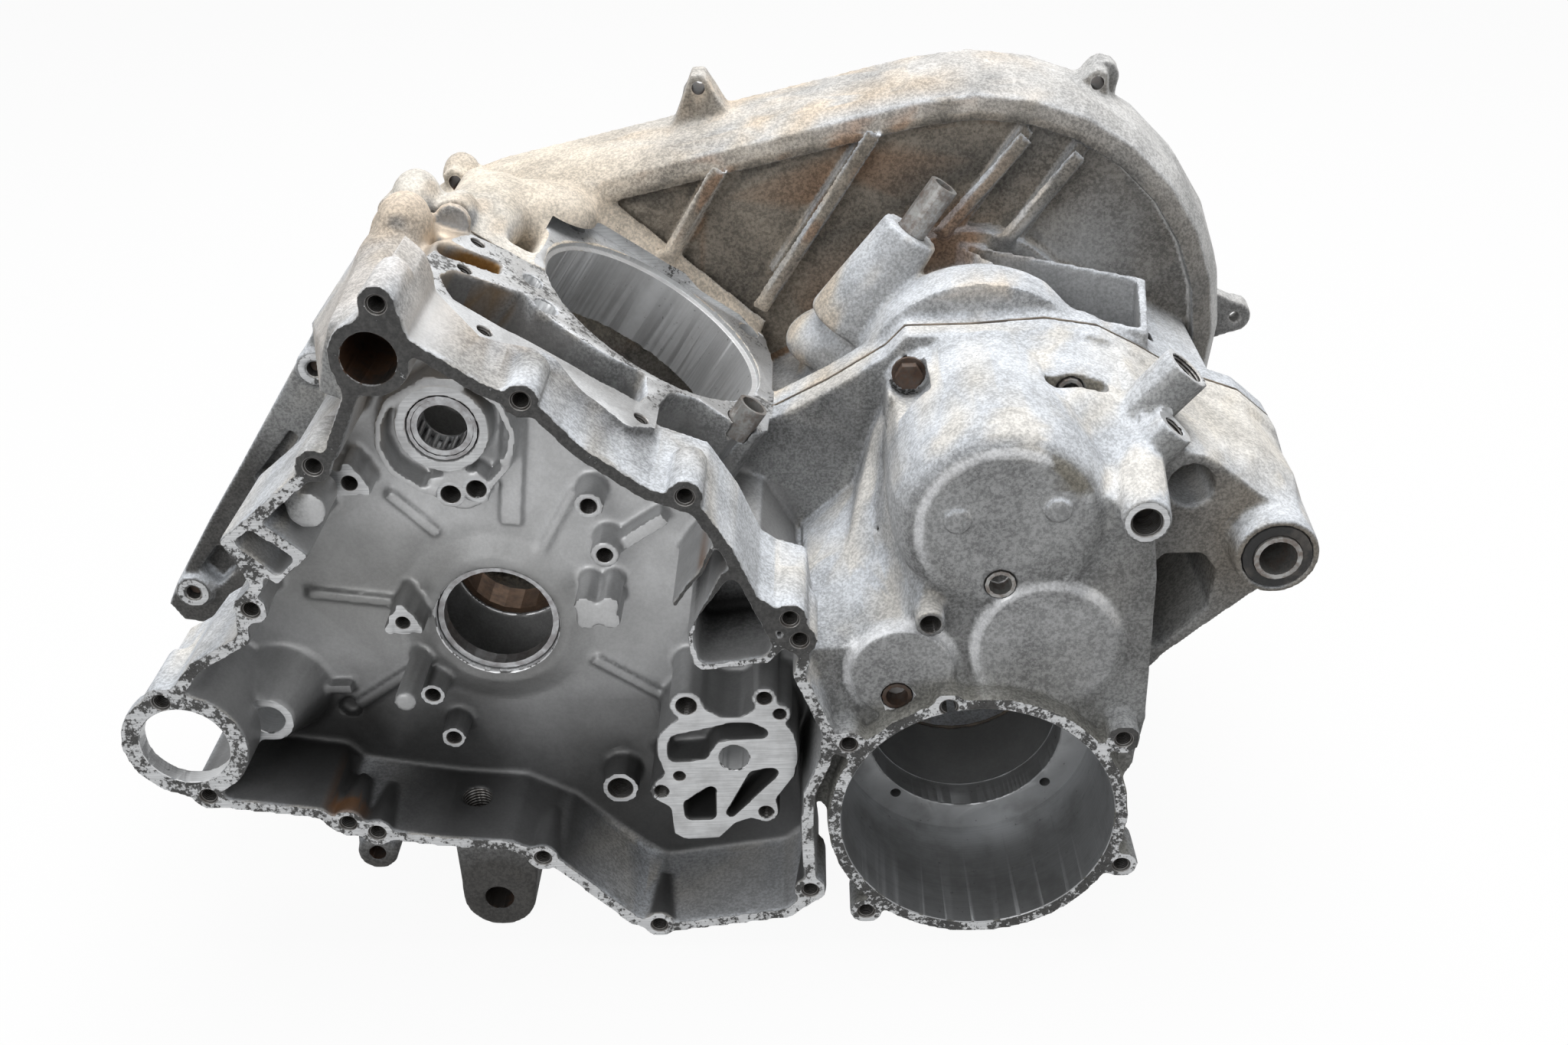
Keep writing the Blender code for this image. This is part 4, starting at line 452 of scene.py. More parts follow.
def bored_finish(name, light, dark, rust=0.0):
    f = Finish(name)
    rings = f.noise(0.5, detail=2.0, stretch=(0.004, 1.0, 0.004))
    smear = f.noise(30.0, detail=5.0, roughness=0.65)
    spots = f.noise(3.5, detail=6.0, roughness=0.7)
    metal = f.mix(f.step(rings, 0.3, 0.7), light, tuple(0.86 * c for c in light))
    metal = f.mix(f.times(f.step(smear, 0.4, 0.68), 0.6), metal, dark)
    brown = f.times(f.step(f.plus(smear, f.times(spots, 0.5)), 0.62, 0.9), rust)
    colour = f.mix(brown, metal, STAIN_BROWN)
    colour = f.mix(f.times(f.step(spots, 0.62, 0.72), 0.6), colour, DARK_GRIME)
    rough = f.plus(0.3, f.times(smear, 0.25))
    shine = f.times(f.minus(1.0, brown), 0.6)
    return f.done(colour, rough, shine, f.plus(rings, f.times(spots, 0.3)), 0.2, 0.08)


bored = bored_finish("bored_aluminium", (0.82, 0.83, 0.84), (0.55, 0.55, 0.55))
oily_bore = bored_finish("oily_bore", (0.42, 0.43, 0.44), (0.2, 0.2, 0.2))
rusty_bore = bored_finish("stained_bore", (0.07, 0.065, 0.06), (0.03, 0.027, 0.024), 0.35)
print("made:", bored.name, oily_bore.name, rusty_bore.name)

# %% [markdown]
# A real thread in each of the sixty tapped holes would cost more triangles than the castings
# do, and at this distance only its light and dark turns show. A ping-pong ramp along the hole
# draws them as colour: painted shade in the roots, plain metal on the crests.

# %% Tapped holes
THREAD_ROOT_SHADE = (0.03, 0.03, 0.03)
THREAD_CREST = (0.36, 0.35, 0.34)
THREAD_DIRT = (0.05, 0.04, 0.032)
SPOUT_LEAN = (0.64, -0.06, 0.77)


def threaded_finish(name, direction, pitch):
    f = Finish(name)
    ridge = f.maths("PINGPONG", f.times(f.along(direction), 1000.0 / pitch), 0.5)
    dirt = f.noise(4.0, detail=5.0)
    # Painted shade: the thread's roots are dark, its crests metal grey.
    colour = f.mix(f.times(ridge, 2.0), THREAD_ROOT_SHADE, THREAD_CREST)
    colour = f.mix(f.times(f.step(dirt, 0.4, 0.7), 0.7), colour, THREAD_DIRT)
    return f.done(colour, 0.45, 0.7, ridge, 0.9, 0.5 * pitch)


threaded = threaded_finish("tapped_hole", (0.0, 1.0, 0.0), 1.0)
drain_thread = threaded_finish("tapped_drain", (0.0, 0.0, 1.0), 1.5)
deck_thread = threaded_finish("tapped_deck_hole", (0.57, 0.0, 0.822), 1.0)
spout_thread = threaded_finish("tapped_spout", SPOUT_LEAN, 1.3)
print("made:", threaded.name, drain_thread.name, deck_thread.name, spout_thread.name)

# %% [markdown]
# ## From solid to casting
#
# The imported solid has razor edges, because it was cut together from simple shapes. A real
# casting has none: a mould can't hold a sharp corner, so each inner corner has a fillet and each
# outer edge a small radius. Beveling thousands of edges by hand is hopeless, but turning the
# solid into a fine grid of voxels and relaxing it rounds all of them at once.
#
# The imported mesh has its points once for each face. They are welded first, because the boolean
# solver that is used here wants closed meshes.

# %% Work on copies
WELD = 0.002 * MM


def settle(obj):
    """Replaces the object's mesh by what its modifiers make of it."""
    graph = bpy.context.evaluated_depsgraph_get()
    made = bpy.data.meshes.new_from_object(obj.evaluated_get(graph))
    obj.modifiers.clear()
    old = obj.data
    obj.data = made
    bpy.data.meshes.remove(old)


def solid_copy(node, name):
    """A new object with the node's form, to be worked on."""
    skin = bpy.data.objects.new(name, nodes[node].data.copy())
    bpy.context.scene.collection.objects.link(skin)
    work = bmesh.new()
    work.from_mesh(skin.data)
    bmesh.ops.remove_doubles(work, verts=work.verts, dist=WELD)
    work.to_mesh(skin.data)
    work.free()
    return skin


near = solid_copy("crankcase_left", "casting_near")
far = solid_copy("crankcase_right", "casting_far")
print("points after welding:", len(near.data.vertices), len(far.data.vertices))

# %% [markdown]
# Where lumps of the pattern run into one another, the relaxing is repeated many times, but only
# inside a round region. A vertex group tells the modifier where.

# %% Round off and melt
VOXEL = 1.25
RELAX_SHARE = 0.5
RELAX_STEPS = 5
MELT_STEPS = 60
MELT_EDGE = 3.0
MOST_TRIANGLES = 180000


def melt(skin, places):
    """Smooths the skin far more inside round regions, each with a centre and a reach."""
    points = np.empty(len(skin.data.vertices) * 3)
    skin.data.vertices.foreach_get("co", points)
    points = points.reshape(-1, 3)
    share = np.zeros(len(points))
    for centre, reach in places:
        away = np.linalg.norm(points - np.array(at(*centre)), axis=1) / (reach * MM)
        share = np.maximum(share, np.clip(MELT_EDGE * (1 - away), 0.0, 1.0))
    group = skin.vertex_groups.new(name="melt")
    for i in np.flatnonzero(share > 0):
        group.add([int(i)], float(share[i]), "REPLACE")
    soft = skin.modifiers.new("melt", "SMOOTH")
    soft.factor = RELAX_SHARE
    soft.iterations = MELT_STEPS
    soft.vertex_group = "melt"
    settle(skin)
    print(skin.name, "points melted:", int((share > 0).sum()))


def round_off(skin, places):
    """Rounds all the edges of a solid as a mould rounds them."""
    grid = skin.modifiers.new("grid", "REMESH")
    grid.mode = "VOXEL"
    grid.voxel_size = VOXEL * MM
    soft = skin.modifiers.new("soft", "SMOOTH")
    soft.factor = RELAX_SHARE
    soft.iterations = RELAX_STEPS
    settle(skin)
    melt(skin, places)
    triangles = sum(len(p.vertices) - 2 for p in skin.data.polygons)
    if triangles > MOST_TRIANGLES:
        fewer = skin.modifiers.new("fewer", "DECIMATE")
        fewer.ratio = MOST_TRIANGLES / triangles
        settle(skin)
    skin.data.materials.clear()
    skin.data.materials.append(cast)
    print(skin.name, len(skin.data.vertices), "points", len(skin.data.polygons), "faces")


print("voxel:", VOXEL, "mm")

# %% [markdown]
# ## What the milling machine did
#
# After casting, the case was clamped and machined: the cover face, the cylinder deck, the pump
# face and each boss were faced flat, the bores were bored and the bolt holes drilled, chamfered
# and tapped. These cuts are crisp, which is what makes the soft skin beside them read as cast.
# So they are cut again here, a third of a millimetre deep, and each cut leaves its own finish
# on the faces it makes. The same kit adds lumps, because adding and cutting differ by one word.

# %% A place on the deck
LEAN = math.radians(34.74)
DECK_UP = Vector((math.sin(LEAN), 0.0, math.cos(LEAN)))
DECK_ACROSS = Vector((math.cos(LEAN), 0.0, -math.sin(LEAN)))
DECK_HEIGHT = 114.0
BORE_STATION = 138.0


def deck(across, behind, above=0.0):
    """A point near the leaning cylinder deck, in millimetres from the crankshaft."""
    spot = DECK_UP * (DECK_HEIGHT + above) + DECK_ACROSS * across
    return Vector((spot.x, BORE_STATION + behind, spot.z))


print("cylinder axis meets the deck at", [round(v, 1) for v in deck(0, 0)])

# %% Cutters
SKIM = 0.35
AHEAD = 1.0
FLARE = 0.6


class Cuts:
    """A set of cutters or lumps. Each is a closed solid with the finish it leaves."""

    def __init__(self, name):
        self.group = bpy.data.collections.new(name)
        bpy.context.scene.collection.children.link(self.group)
        self.name = name

    def solid(self, near, far, finish):
        """A solid between two rings of points of the same count, in millimetres."""
        count = len(near)
        faces = [list(range(count)), list(range(count, 2 * count))]
        for i in range(count):
            j = (i + 1) % count
            faces.append([i, j, count + j, count + i])
        mesh = bpy.data.meshes.new(self.name)
        mesh.from_pydata([at(*p) for p in list(near) + list(far)], [], faces)
        work = bmesh.new()
        work.from_mesh(mesh)
        bmesh.ops.recalc_face_normals(work, faces=work.faces)
        if work.calc_volume(signed=True) < 0:
            bmesh.ops.reverse_faces(work, faces=work.faces)
        work.to_mesh(mesh)
        work.free()
        mesh.materials.append(finish)
        self.group.objects.link(bpy.data.objects.new(self.name, mesh))

    def drill(self, start, end, radius, finish, tip=None, sides=32):
        """A round rod, or a cone where tip gives another radius at its end."""
        start, end = Vector(start), Vector(end)
        turn = (end - start).to_track_quat("Z", "Y")
        angles = [2 * math.pi * (i + 0.5) / sides for i in range(sides)]
        rings = []
        for place, size in ((start, radius), (end, radius if tip is None else tip)):
            ring = [Vector((size * math.cos(a), size * math.sin(a), 0.0)) for a in angles]
            rings.append([place + turn @ spot for spot in ring])
        self.solid(rings[0], rings[1], finish)

    def bore(self, spot, near, far, radius, finish, chamfer=0.0, sides=32):
        """A hole along the crankshaft that starts AHEAD of the face, with a chamfered mouth."""
        x, z = spot
        self.drill((x, near, z), (x, far, z), radius, finish, sides=sides)
        if chamfer:
            face = near + AHEAD
            wide = radius + chamfer + FLARE
            self.drill((x, face - FLARE, z), (x, face + chamfer, z), wide, finish, radius, sides)

    def skim(self, outline, near, far, finish):
        """Takes what stands between two stations, inside an outline in x and z."""
        self.solid([(x, near, z) for x, z in outline], [(x, far, z) for x, z in outline], finish)

    def ball(self, centre, radii, turns=20):
        """A round lump with its own radius along x, y and z."""
        work = bmesh.new()
        bmesh.ops.create_uvsphere(work, u_segments=turns, v_segments=turns // 2, radius=1.0)
        for vert in work.verts:
            vert.co = at(*(c + r * v for c, r, v in zip(centre, radii, vert.co)))
        mesh = bpy.data.meshes.new(self.name)
        work.to_mesh(mesh)
        work.free()
        mesh.materials.append(cast)
        self.group.objects.link(bpy.data.objects.new(self.name, mesh))

    def apply(self, skin, operation="DIFFERENCE"):
        """Cuts the whole set from the skin, or adds it with UNION, and throws the set away."""
        for item in self.group.objects:
            finish = item.data.materials[0]
            if finish.name not in skin.data.materials:
                skin.data.materials.append(finish)
        tool = skin.modifiers.new(self.name, "BOOLEAN")
        tool.operation = operation
        tool.solver = "MANIFOLD"
        tool.material_mode = "TRANSFER"
        tool.operand_type = "COLLECTION"
        tool.collection = self.group
        before = len(skin.data.polygons)
        settle(skin)
        shapes = list(self.group.objects)
        print(self.name, len(shapes), "shapes,", before, "faces became", len(skin.data.polygons))
        for item in shapes:
            bpy.data.objects.remove(item)
        bpy.data.collections.remove(self.group)


print("chamfers start", AHEAD, "mm before a hole's face")

# %% [markdown]
# ## Swellings that the mould leaves
#
# The construction solids are drawn with straight lines and arcs. The pattern maker filled their
# corners with wax: lumps over the upper bolts, webs under the cover ears, a fillet where the
# deck meets the belt housing. They are added as rough shapes before the edges are rounded, so
# the rounding melts them into the body.
#
# First something comes off. The gear housing ends behind in an arch that tapers down to the
# belt housing, so a ring with a conical inside is cut from its back.

# %% Taper the arch
ARCH = (206.0, 54.0)
ARCH_START = -5.0
ARCH_END = 165.0
ARCH_OUTER = 82.0
ARCH_TAPER = ((150.0, 57.0), (194.5, 38.0))


def arch_arc(radius, start, end, sides=24):
    """Part of a circle round the arch's middle, from one angle in degrees to another."""
    angles = [math.radians(start + (end - start) * i / sides) for i in range(sides + 1)]
    return [(ARCH[0] + radius * math.cos(a), ARCH[1] + radius * math.sin(a)) for a in angles]


arch_cut = Cuts("arch_cut")
rings = []
for station, radius in ARCH_TAPER:
    edge = arch_arc(ARCH_OUTER, ARCH_START, ARCH_END) + arch_arc(radius, ARCH_END, ARCH_START)
    rings.append([(x, station, z) for x, z in edge])
arch_cut.solid(rings[0], rings[1], cast)
arch_cut.apply(far)

# %% [markdown]
# The breather tube stands in a boss that flares towards its foot, and the filler's mouth has a
# thick lip. Its hollow is cut later, when the lip is part of the casting.

# %% Tube boss and filler lip
TUBE_SEAT = Vector((178.3, 165.0, 121.0))
TUBE_BOSS_DEPTH = 54.0
TUBE_BOSS_FOOT = 18.5
TUBE_BOSS_TOP = 13.5
FILLER = [
    Vector((203.0, 193.0, 105.0)), Vector((281.0, 171.0, 93.0)), Vector((275.0, 127.0, 88.0)),
    Vector((255.0, 133.0, 91.0)),
]
FILLER_MIDDLE = (253.5, 156.0)
FILLER_WALL = 5.0
FILLER_LIP = Vector((0.0, 0.0, 40.0))

added = Cuts("far_lumps")
tube_foot = TUBE_SEAT - DECK_UP * TUBE_BOSS_DEPTH
added.drill(tube_foot, TUBE_SEAT, TUBE_BOSS_FOOT, cast, TUBE_BOSS_TOP)
lip = []
for corner in FILLER:
    outward = corner - Vector((*FILLER_MIDDLE, corner.z))
    lip.append(corner + outward.normalized() * FILLER_WALL)
added.solid([corner - FILLER_LIP for corner in lip], lip, cast)
print("lip corners:", [tuple(round(v) for v in corner) for corner in lip])

# %% [markdown]
# Four ribs stiffen the belt housing's wall. Each is a low bar with a narrow crest that sinks
# into the wall at its upper end, where the wall turns forward into the rim.

# %% Ribs on the belt housing
BELT_RIBS = [
    ((66.0, 100.0), (94.0, 144.0)), ((108.0, 74.0), (164.0, 159.0)),
    ((192.0, 108.0), (232.0, 155.0)), ((222.0, 104.0), (256.5, 146.5)),
]
RIB_HALF_WIDTH = 4.5
RIB_CREST = 0.35
RIB_SLOPE = 5.0
RIB_FRONT = 187.8
RIB_END = 191.0
WALL_FRONT = 193.0


def bar(a, b, side):
    """The four corners of a bar from a to b, half of it on each side."""
    return [a - side, b - side, b + side, a + side]


for low_end, high_end in BELT_RIBS:
    a, b = Vector(low_end), Vector(high_end)
    along = (b - a).normalized()
    side = Vector((-along.y, along.x)) * RIB_HALF_WIDTH
    foot = bar(a, b, side)
    crest = bar(a + along * RIB_SLOPE, b - along * RIB_SLOPE, side * RIB_CREST)
    stations = (RIB_FRONT, RIB_END, RIB_END, RIB_FRONT)
    top = [(p.x, y, p.y) for p, y in zip(crest, stations)]
    added.solid(top, [(p.x, WALL_FRONT, p.y) for p in foot], cast)
print("ribs:", len(BELT_RIBS))

# %% [markdown]
# The ears on the rim carry the belt cover's bolts. Each stands on a web that widens towards the
# rim. The list gives the bolt hole and the middle of the web's foot.

# %% Webs under the rim's ears
RIM_EARS = [
    ((82.9, 170.3), (84.0, 152.0)), ((267.6, 167.5), (261.0, 154.0)),
    ((-36.0, 128.9), (-27.0, 115.0)),
]
EAR_TIP = 6.0
EAR_TIP_HALF_WIDTH = 3.0
WEB_HALF_WIDTH = 15.0
WEB_STATIONS = (229.0, 247.0)

for hole, foot in RIM_EARS:
    hole, foot = Vector(hole), Vector(foot)
    sideways = (foot - hole).orthogonal().normalized()
    tip = hole + (hole - foot).normalized() * EAR_TIP
    thin, wide = sideways * EAR_TIP_HALF_WIDTH, sideways * WEB_HALF_WIDTH
    added.skim([tip - thin, tip + thin, foot + wide, foot - wide], *WEB_STATIONS, cast)
print("webs:", len(RIM_EARS))

# %% [markdown]
# Behind the deck's back edge a fillet runs down to the belt housing's wall. It is drawn as a
# wedge, higher at the left. The swellings at the top left cover the upper bolts, and one more
# lies at the foot of the tube's boss. They are balls, stretched along each axis.

# %% Fillet and swellings of the far half
FILLET_ENDS = ((-56.0, 18.0), (54.0, 4.0))
FILLET_NEAR = 50.0
FILLET_FAR = 61.0
FILLET_FOOT = -4.0
FAR_SWELLINGS = [
    ((-31.0, 134.0, 152.0), (10.5, 17.0, 12.5)), ((-10.0, 168.0, 132.0), (19.0, 46.0, 15.0)),
    ((8.0, 186.0, 124.0), (29.0, 22.0, 18.0)), ((150.0, 176.0, 66.0), (30.0, 24.0, 16.0)),
]

wedge = []
for across, top in FILLET_ENDS:
    corners = ((FILLET_NEAR, FILLET_FOOT), (FILLET_FAR, FILLET_FOOT), (FILLET_FAR, top))
    wedge.append([deck(across, behind, above) for behind, above in corners])
added.solid(wedge[0], wedge[1], cast)
for centre, radii in FAR_SWELLINGS:
    added.ball(centre, radii)
added.apply(far, "UNION")

# %% Hollow the filler
HOLLOW_DEPTH = Vector((0.0, 0.0, 45.0))
HOLLOW_TOP = Vector((0.0, 0.0, 4.0))

hollow = Cuts("filler_hollow")
hollow.solid([p - HOLLOW_DEPTH for p in FILLER], [p + HOLLOW_TOP for p in FILLER], cast)
hollow.apply(far)

# %% [markdown]
# The near half has its own swelling over the same bolt, and a shell along its left edge that
# widens towards the split line.

# %% Swellings of the near half
NEAR_SWELLINGS = [
    ((-30.0, 104.0, 152.0), (11.5, 16.5, 13.0)), ((-34.0, 92.0, 138.0), (15.0, 30.0, 16.0)),
]
SHELL_FRONT = [(-30, 151), (-38, 147), (-42, 137), (-46, 120), (-36, 116), (-24, 130)]
SHELL_BACK = [(-30, 153), (-44, 149), (-53, 138), (-80, 104), (-60, 92), (-24, 118)]
SHELL_STATIONS = (12.0, 117.5)

added = Cuts("near_lumps")
for centre, radii in NEAR_SWELLINGS:
    added.ball(centre, radii)
start, end = SHELL_STATIONS
added.solid([(x, start, z) for x, z in SHELL_FRONT], [(x, end, z) for x, z in SHELL_BACK], cast)
added.apply(near, "UNION")

# %% [markdown]
# Now both halves have their full form, and can be rounded. Each melting place has a centre and
# a reach. They stay clear of the deck, whose edge has to stay thin and straight.

# %% Round both halves
MELT_NEAR = [((-34.0, 96.0, 146.0), 30.0)]
MELT_FAR = [
    ((-12.0, 160.0, 142.0), 42.0), ((14.0, 186.0, 128.0), 30.0), ((150.0, 176.0, 66.0), 36.0),
]

round_off(near, MELT_NEAR)
round_off(far, MELT_FAR)

# %% [markdown]
# The near half is faced first: the whole cover face in one pass, the leaning deck, and the
# pump's face with its six lobes, which lies 12 mm down in the room.

# %% Face the near half
BEYOND = 5.0
WHOLE_FRONT = [(-200.0, -170.0), (-200.0, 190.0), (300.0, 190.0), (300.0, -170.0)]
PUMP_STATION = 12.0
PUMP_CLEAR = 9.0
BOSS_MARGIN = 0.6
HOLE_MARGIN = 0.1
PUMP_FACE = [
    (72.2, -32.1), (66.2, -38.8), (64.8, -48.1), (67.6, -58.8), (62.6, -63.4), (61.5, -71.8),
    (68.8, -76.9), (69.7, -91.7), (74.8, -94.9), (89.8, -94.0), (96.5, -86.1), (103.3, -83.8),
    (109.9, -86.4), (115.3, -80.4), (114.6, -73.1), (122.5, -61.2), (124.7, -50.7), (123.1, -39.0),
    (119.1, -33.2), (113.9, -26.3), (106.6, -26.1), (100.9, -29.9), (93.5, -29.8), (86.9, -25.6),
]
PUMP_LOBES = [
    ((79.0, -24.0), 7.4, 4.1), ((111.0, -21.0), 5.6, 3.0), ((117.0, -29.0), 5.2, 2.5),
    ((74.0, -60.0), 5.0, 2.3), ((66.0, -68.0), 5.2, 2.9), ((109.6, -80.0), 6.0, 2.9),
]
NEAR_DECK = [
    (-98.0, -78.0), (-98.0, -44.0), (-92.8, -33.0), (-86.0, -23.0), (-70.0, -17.0), (61.5, -17.0),
    (60.5, -43.0), (55.0, -53.0), (41.5, -55.0), (25.0, -53.0), (13.0, -60.0), (9.2, -75.5),
    (9.1, -98.0), (-2.0, -109.0), (-20.8, -102.0), (-43.6, -93.5), (-58.8, -101.0), (-66.6, -106.0),
    (-88.0, -92.0),
]


def face_deck(cuts, outline):
    low_ring = [deck(across, behind, -SKIM) for across, behind in outline]
    high_ring = [deck(across, behind, BEYOND) for across, behind in outline]
    cuts.solid(low_ring, high_ring, faced)


near_cuts = Cuts("near_cuts")
near_cuts.skim(WHOLE_FRONT, -BEYOND, SKIM, faced)
face_deck(near_cuts, NEAR_DECK)
near_cuts.skim(PUMP_FACE, PUMP_CLEAR, PUMP_STATION + SKIM, faced)
for spot, boss, hole in PUMP_LOBES:
    near_cuts.bore(spot, PUMP_CLEAR, PUMP_STATION + SKIM, boss + BOSS_MARGIN, faced)
    near_cuts.bore(spot, PUMP_STATION - AHEAD, 30.0, hole + HOLE_MARGIN, threaded, 0.7)

# %% [markdown]
# Each boss in the room is a small tower with a bright faced top and a tapped hole. The bosses
# are given by place, radius, station of the top and radius of the hole. The cover's nineteen
# holes are M6, so their cores are 6.1 mm wide.

# %% Bosses and cover holes
ROOM_BOSSES = [
    ((45.0, 61.0), 6.2, 28.0, 3.1), ((49.3, 38.0), 6.2, 29.0, 3.1), ((-29.0, -29.0), 5.6, 30.0, 2.9),
    ((-23.0, -51.5), 5.6, 30.0, 2.9), ((-47.5, 72.6), 9.5, 30.0, 2.9), ((-35.0, 10.0), 9.5, 26.0, 2.6),
    ((-9.4, 65.0), 5.0, 33.0, 3.6), ((1.0, 67.0), 5.0, 33.0, 3.6), ((45.8, -80.5), 8.4, 30.0, 5.2),
]
BOSS_CLEAR = 4.0
BOSS_HOLE_END = 45.0
COVER_HOLES = [
    (-16.6, 158.2), (29.3, 120.2), (85.6, 79.6), (122.8, 24.9), (126.4, 15.0), (144.8, -36.1),
    (127.5, -113.4), (61.6, -131.9), (14.9, -92.9), (-64.6, -72.2), (-53.2, -77.6), (-120.2, -56.6),
    (-129.4, -8.7), (-84.8, 34.1), (-49.7, 95.6), (184.8, -18.4), (255.2, -36.0), (259.0, -102.1),
    (151.3, -125.9),
]
COVER_HOLE = {"near": -AHEAD, "far": 16.0, "radius": 3.05, "chamfer": 1.3}

for spot, boss, top, hole in ROOM_BOSSES:
    near_cuts.bore(spot, top - BOSS_CLEAR, top + SKIM, boss + BOSS_MARGIN, faced)
    near_cuts.bore(spot, top - AHEAD, BOSS_HOLE_END, hole + HOLE_MARGIN, threaded, 0.8)
for spot in COVER_HOLES:
    near_cuts.bore(spot, finish=threaded, **COVER_HOLE)
print("bosses:", len(ROOM_BOSSES), "cover holes:", len(COVER_HOLES))

# %% [markdown]
# The bores hold bearings and bushes: place, first and last station, radius. The output bore has
# two steps and a film of oil. Large circles get more sides than small ones, so that all look
# equally round.

# %% Bores
ROUND_BORES = [
    ((0.0, 0.0), 40.0, 54.0, 25.7), ((0.0, 0.0), 85.0, 104.0, 25.7), ((-8.8, 94.0), 30.0, 54.0, 14.1),
    ((-124.5, -30.7), -1.0, 8.4, 18.25), ((316.0, 30.5), 28.0, 85.2, 14.15),
    ((97.4, -51.0), 11.0, 38.0, 6.35), ((-96.3, -33.0), 19.0, 41.2, 6.65),
    ((205.0, 29.7), 13.0, 23.0, 6.5), ((164.7, -19.5), 8.6, 18.6, 6.5),
    ((237.5, 84.4), 73.0, 87.0, 5.7),
]
OUTPUT = (197.7, -76.4)
OUTPUT_BORES = ((-1.0, 62.2, 56.65), (61.0, 77.0, 43.2))
FACED_DISCS = [
    ((-8.8, 94.0), 32.0, 18.2), ((316.0, 30.5), 29.0, 17.2), ((-96.3, -33.0), 20.0, 11.0),
    ((258.4, 59.6), 8.0, 10.2),
]
DISC_CLEAR = 3.0
BORE_CHAMFER = 0.7
LARGE = 20.0

for spot, start, end, radius in ROUND_BORES:
    near_cuts.bore(spot, start, end, radius, bored, BORE_CHAMFER, 96 if radius > LARGE else 48)
for start, end, radius in OUTPUT_BORES:
    near_cuts.bore(OUTPUT, start, end, radius, oily_bore, BORE_CHAMFER, 128)
for spot, top, radius in FACED_DISCS:
    near_cuts.bore(spot, top - DISC_CLEAR, top + SKIM, radius, faced, sides=64)
print("bores:", len(ROUND_BORES) + len(OUTPUT_BORES))

# %% [markdown]
# Some holes are stained brown: the oil passage at the top, and the mount and a drilling at the
# bottom. Two tapped holes face forward on the gear housing, and the drain is tapped upward
# through the floor of the room.

# %% Passages and drain
OIL_PASSAGE = (-22.5, 137.8)
LOWER_MOUNT = (-10.0, -128.0)
LOWER_DRILLING = (-60.0, -101.0)
PLATE_BOSS = (177.2, 19.0)
SENSOR_BOSS = (258.4, 59.6)
DRAIN_TOP = (-16.4, 28.0, -70.0)
DRAIN_END = (-16.4, 28.0, -100.0)
MOUNT_RADIUS = 6.35

near_cuts.bore(OIL_PASSAGE, -AHEAD, 39.0, 10.15, rusty_bore, 0.6, 48)
near_cuts.bore(LOWER_MOUNT, 13.0, 49.0, MOUNT_RADIUS, rusty_bore, 0.8)
near_cuts.bore(LOWER_DRILLING, 13.0, 41.0, 3.7, rusty_bore, 0.6)
near_cuts.bore(PLATE_BOSS, 2.0, 17.0, 3.9, threaded, 0.9)
near_cuts.bore(SENSOR_BOSS, 7.0, 22.0, 5.5, threaded, 1.2)
near_cuts.drill(DRAIN_TOP, DRAIN_END, 6.35, drain_thread)

# %% [markdown]
# Two threaded spouts lean up and out of the gear housing for hoses. The list gives the foot of
# each, where its top shows from the front, and the radius of its hole. The mouth lies along the
# lean, as far from the foot as the top is in the front view.

# %% Spouts
SPOUT_AXIS = Vector(SPOUT_LEAN).normalized()
SPOUTS = [((262.0, 64.0, 76.0), (281.6, 98.6), 7.5), ((262.0, 45.0, 68.0), (273.9, 82.8), 4.7)]
SPOUT_FACING = 0.4
SPOUT_CLEAR = 4.0
SPOUT_DEPTH = 16.0

for base, top, hole in SPOUTS:
    base = Vector(base)
    mouth = base + SPOUT_AXIS * math.hypot(top[0] - base.x, top[1] - base.z)
    near_cuts.drill(mouth - SPOUT_AXIS * SPOUT_FACING, mouth + SPOUT_AXIS * SPOUT_CLEAR, 2.0 * hole, faced)
    near_cuts.drill(mouth - SPOUT_AXIS * SPOUT_DEPTH, mouth + SPOUT_AXIS * AHEAD, hole, spout_thread)
print("spouts:", len(SPOUTS))

# %% [markdown]
# The deck has its own holes: four small tapped ones round the chain tunnel, an oil drilling,
# and the near two of the four stud holes. One stud hole is wider at its top, for the dowel that
# still stands in it. Places on the deck are given across and behind the cylinder's axis.

# %% Holes in the deck
DECK_TAPPED = [(-82.2, -57.1), (-82.2, -27.1), (-65.5, -97.5), (2.6, -96.0)]
DECK_TAPPED_RADIUS = 2.7
DECK_TAPPED_DEPTH = 22.0
DECK_OIL = (-55.6, -32.5)
NEAR_STUDS = [(-47.0, -48.5), (47.0, -48.5)]
STUD_DEPTH = 34.0
STUD_RADIUS = 5.1
DOWEL_DEPTH = 7.3
DOWEL_RADIUS = 6.95


def deck_hole(cuts, spot, depth, radius, finish):
    """A hole square to the deck, by its place across and behind the cylinder's axis."""
    cuts.drill(deck(*spot, -depth), deck(*spot, AHEAD), radius, finish)


for spot in DECK_TAPPED:
    deck_hole(near_cuts, spot, DECK_TAPPED_DEPTH, DECK_TAPPED_RADIUS, deck_thread)
    wide = DECK_TAPPED_RADIUS + 1.4
    near_cuts.drill(deck(*spot, -1.2), deck(*spot, 0.4), DECK_TAPPED_RADIUS, deck_thread, wide)
deck_hole(near_cuts, DECK_OIL, 30.0, 4.5, bored)
for spot in NEAR_STUDS:
    deck_hole(near_cuts, spot, STUD_DEPTH, STUD_RADIUS, bored)
deck_hole(near_cuts, NEAR_STUDS[1], DOWEL_DEPTH, DOWEL_RADIUS, bored)
print("holes in the deck:", len(DECK_TAPPED) + len(NEAR_STUDS) + 1)

# %% [markdown]
# Along the split line each bolt has a round seat, spot-faced into the flange. Last comes the
# spigot, the big hole for the cylinder's foot. It is cut from both halves with one cutter,
# because it was bored with the halves bolted together. Then the whole set is cut at once.

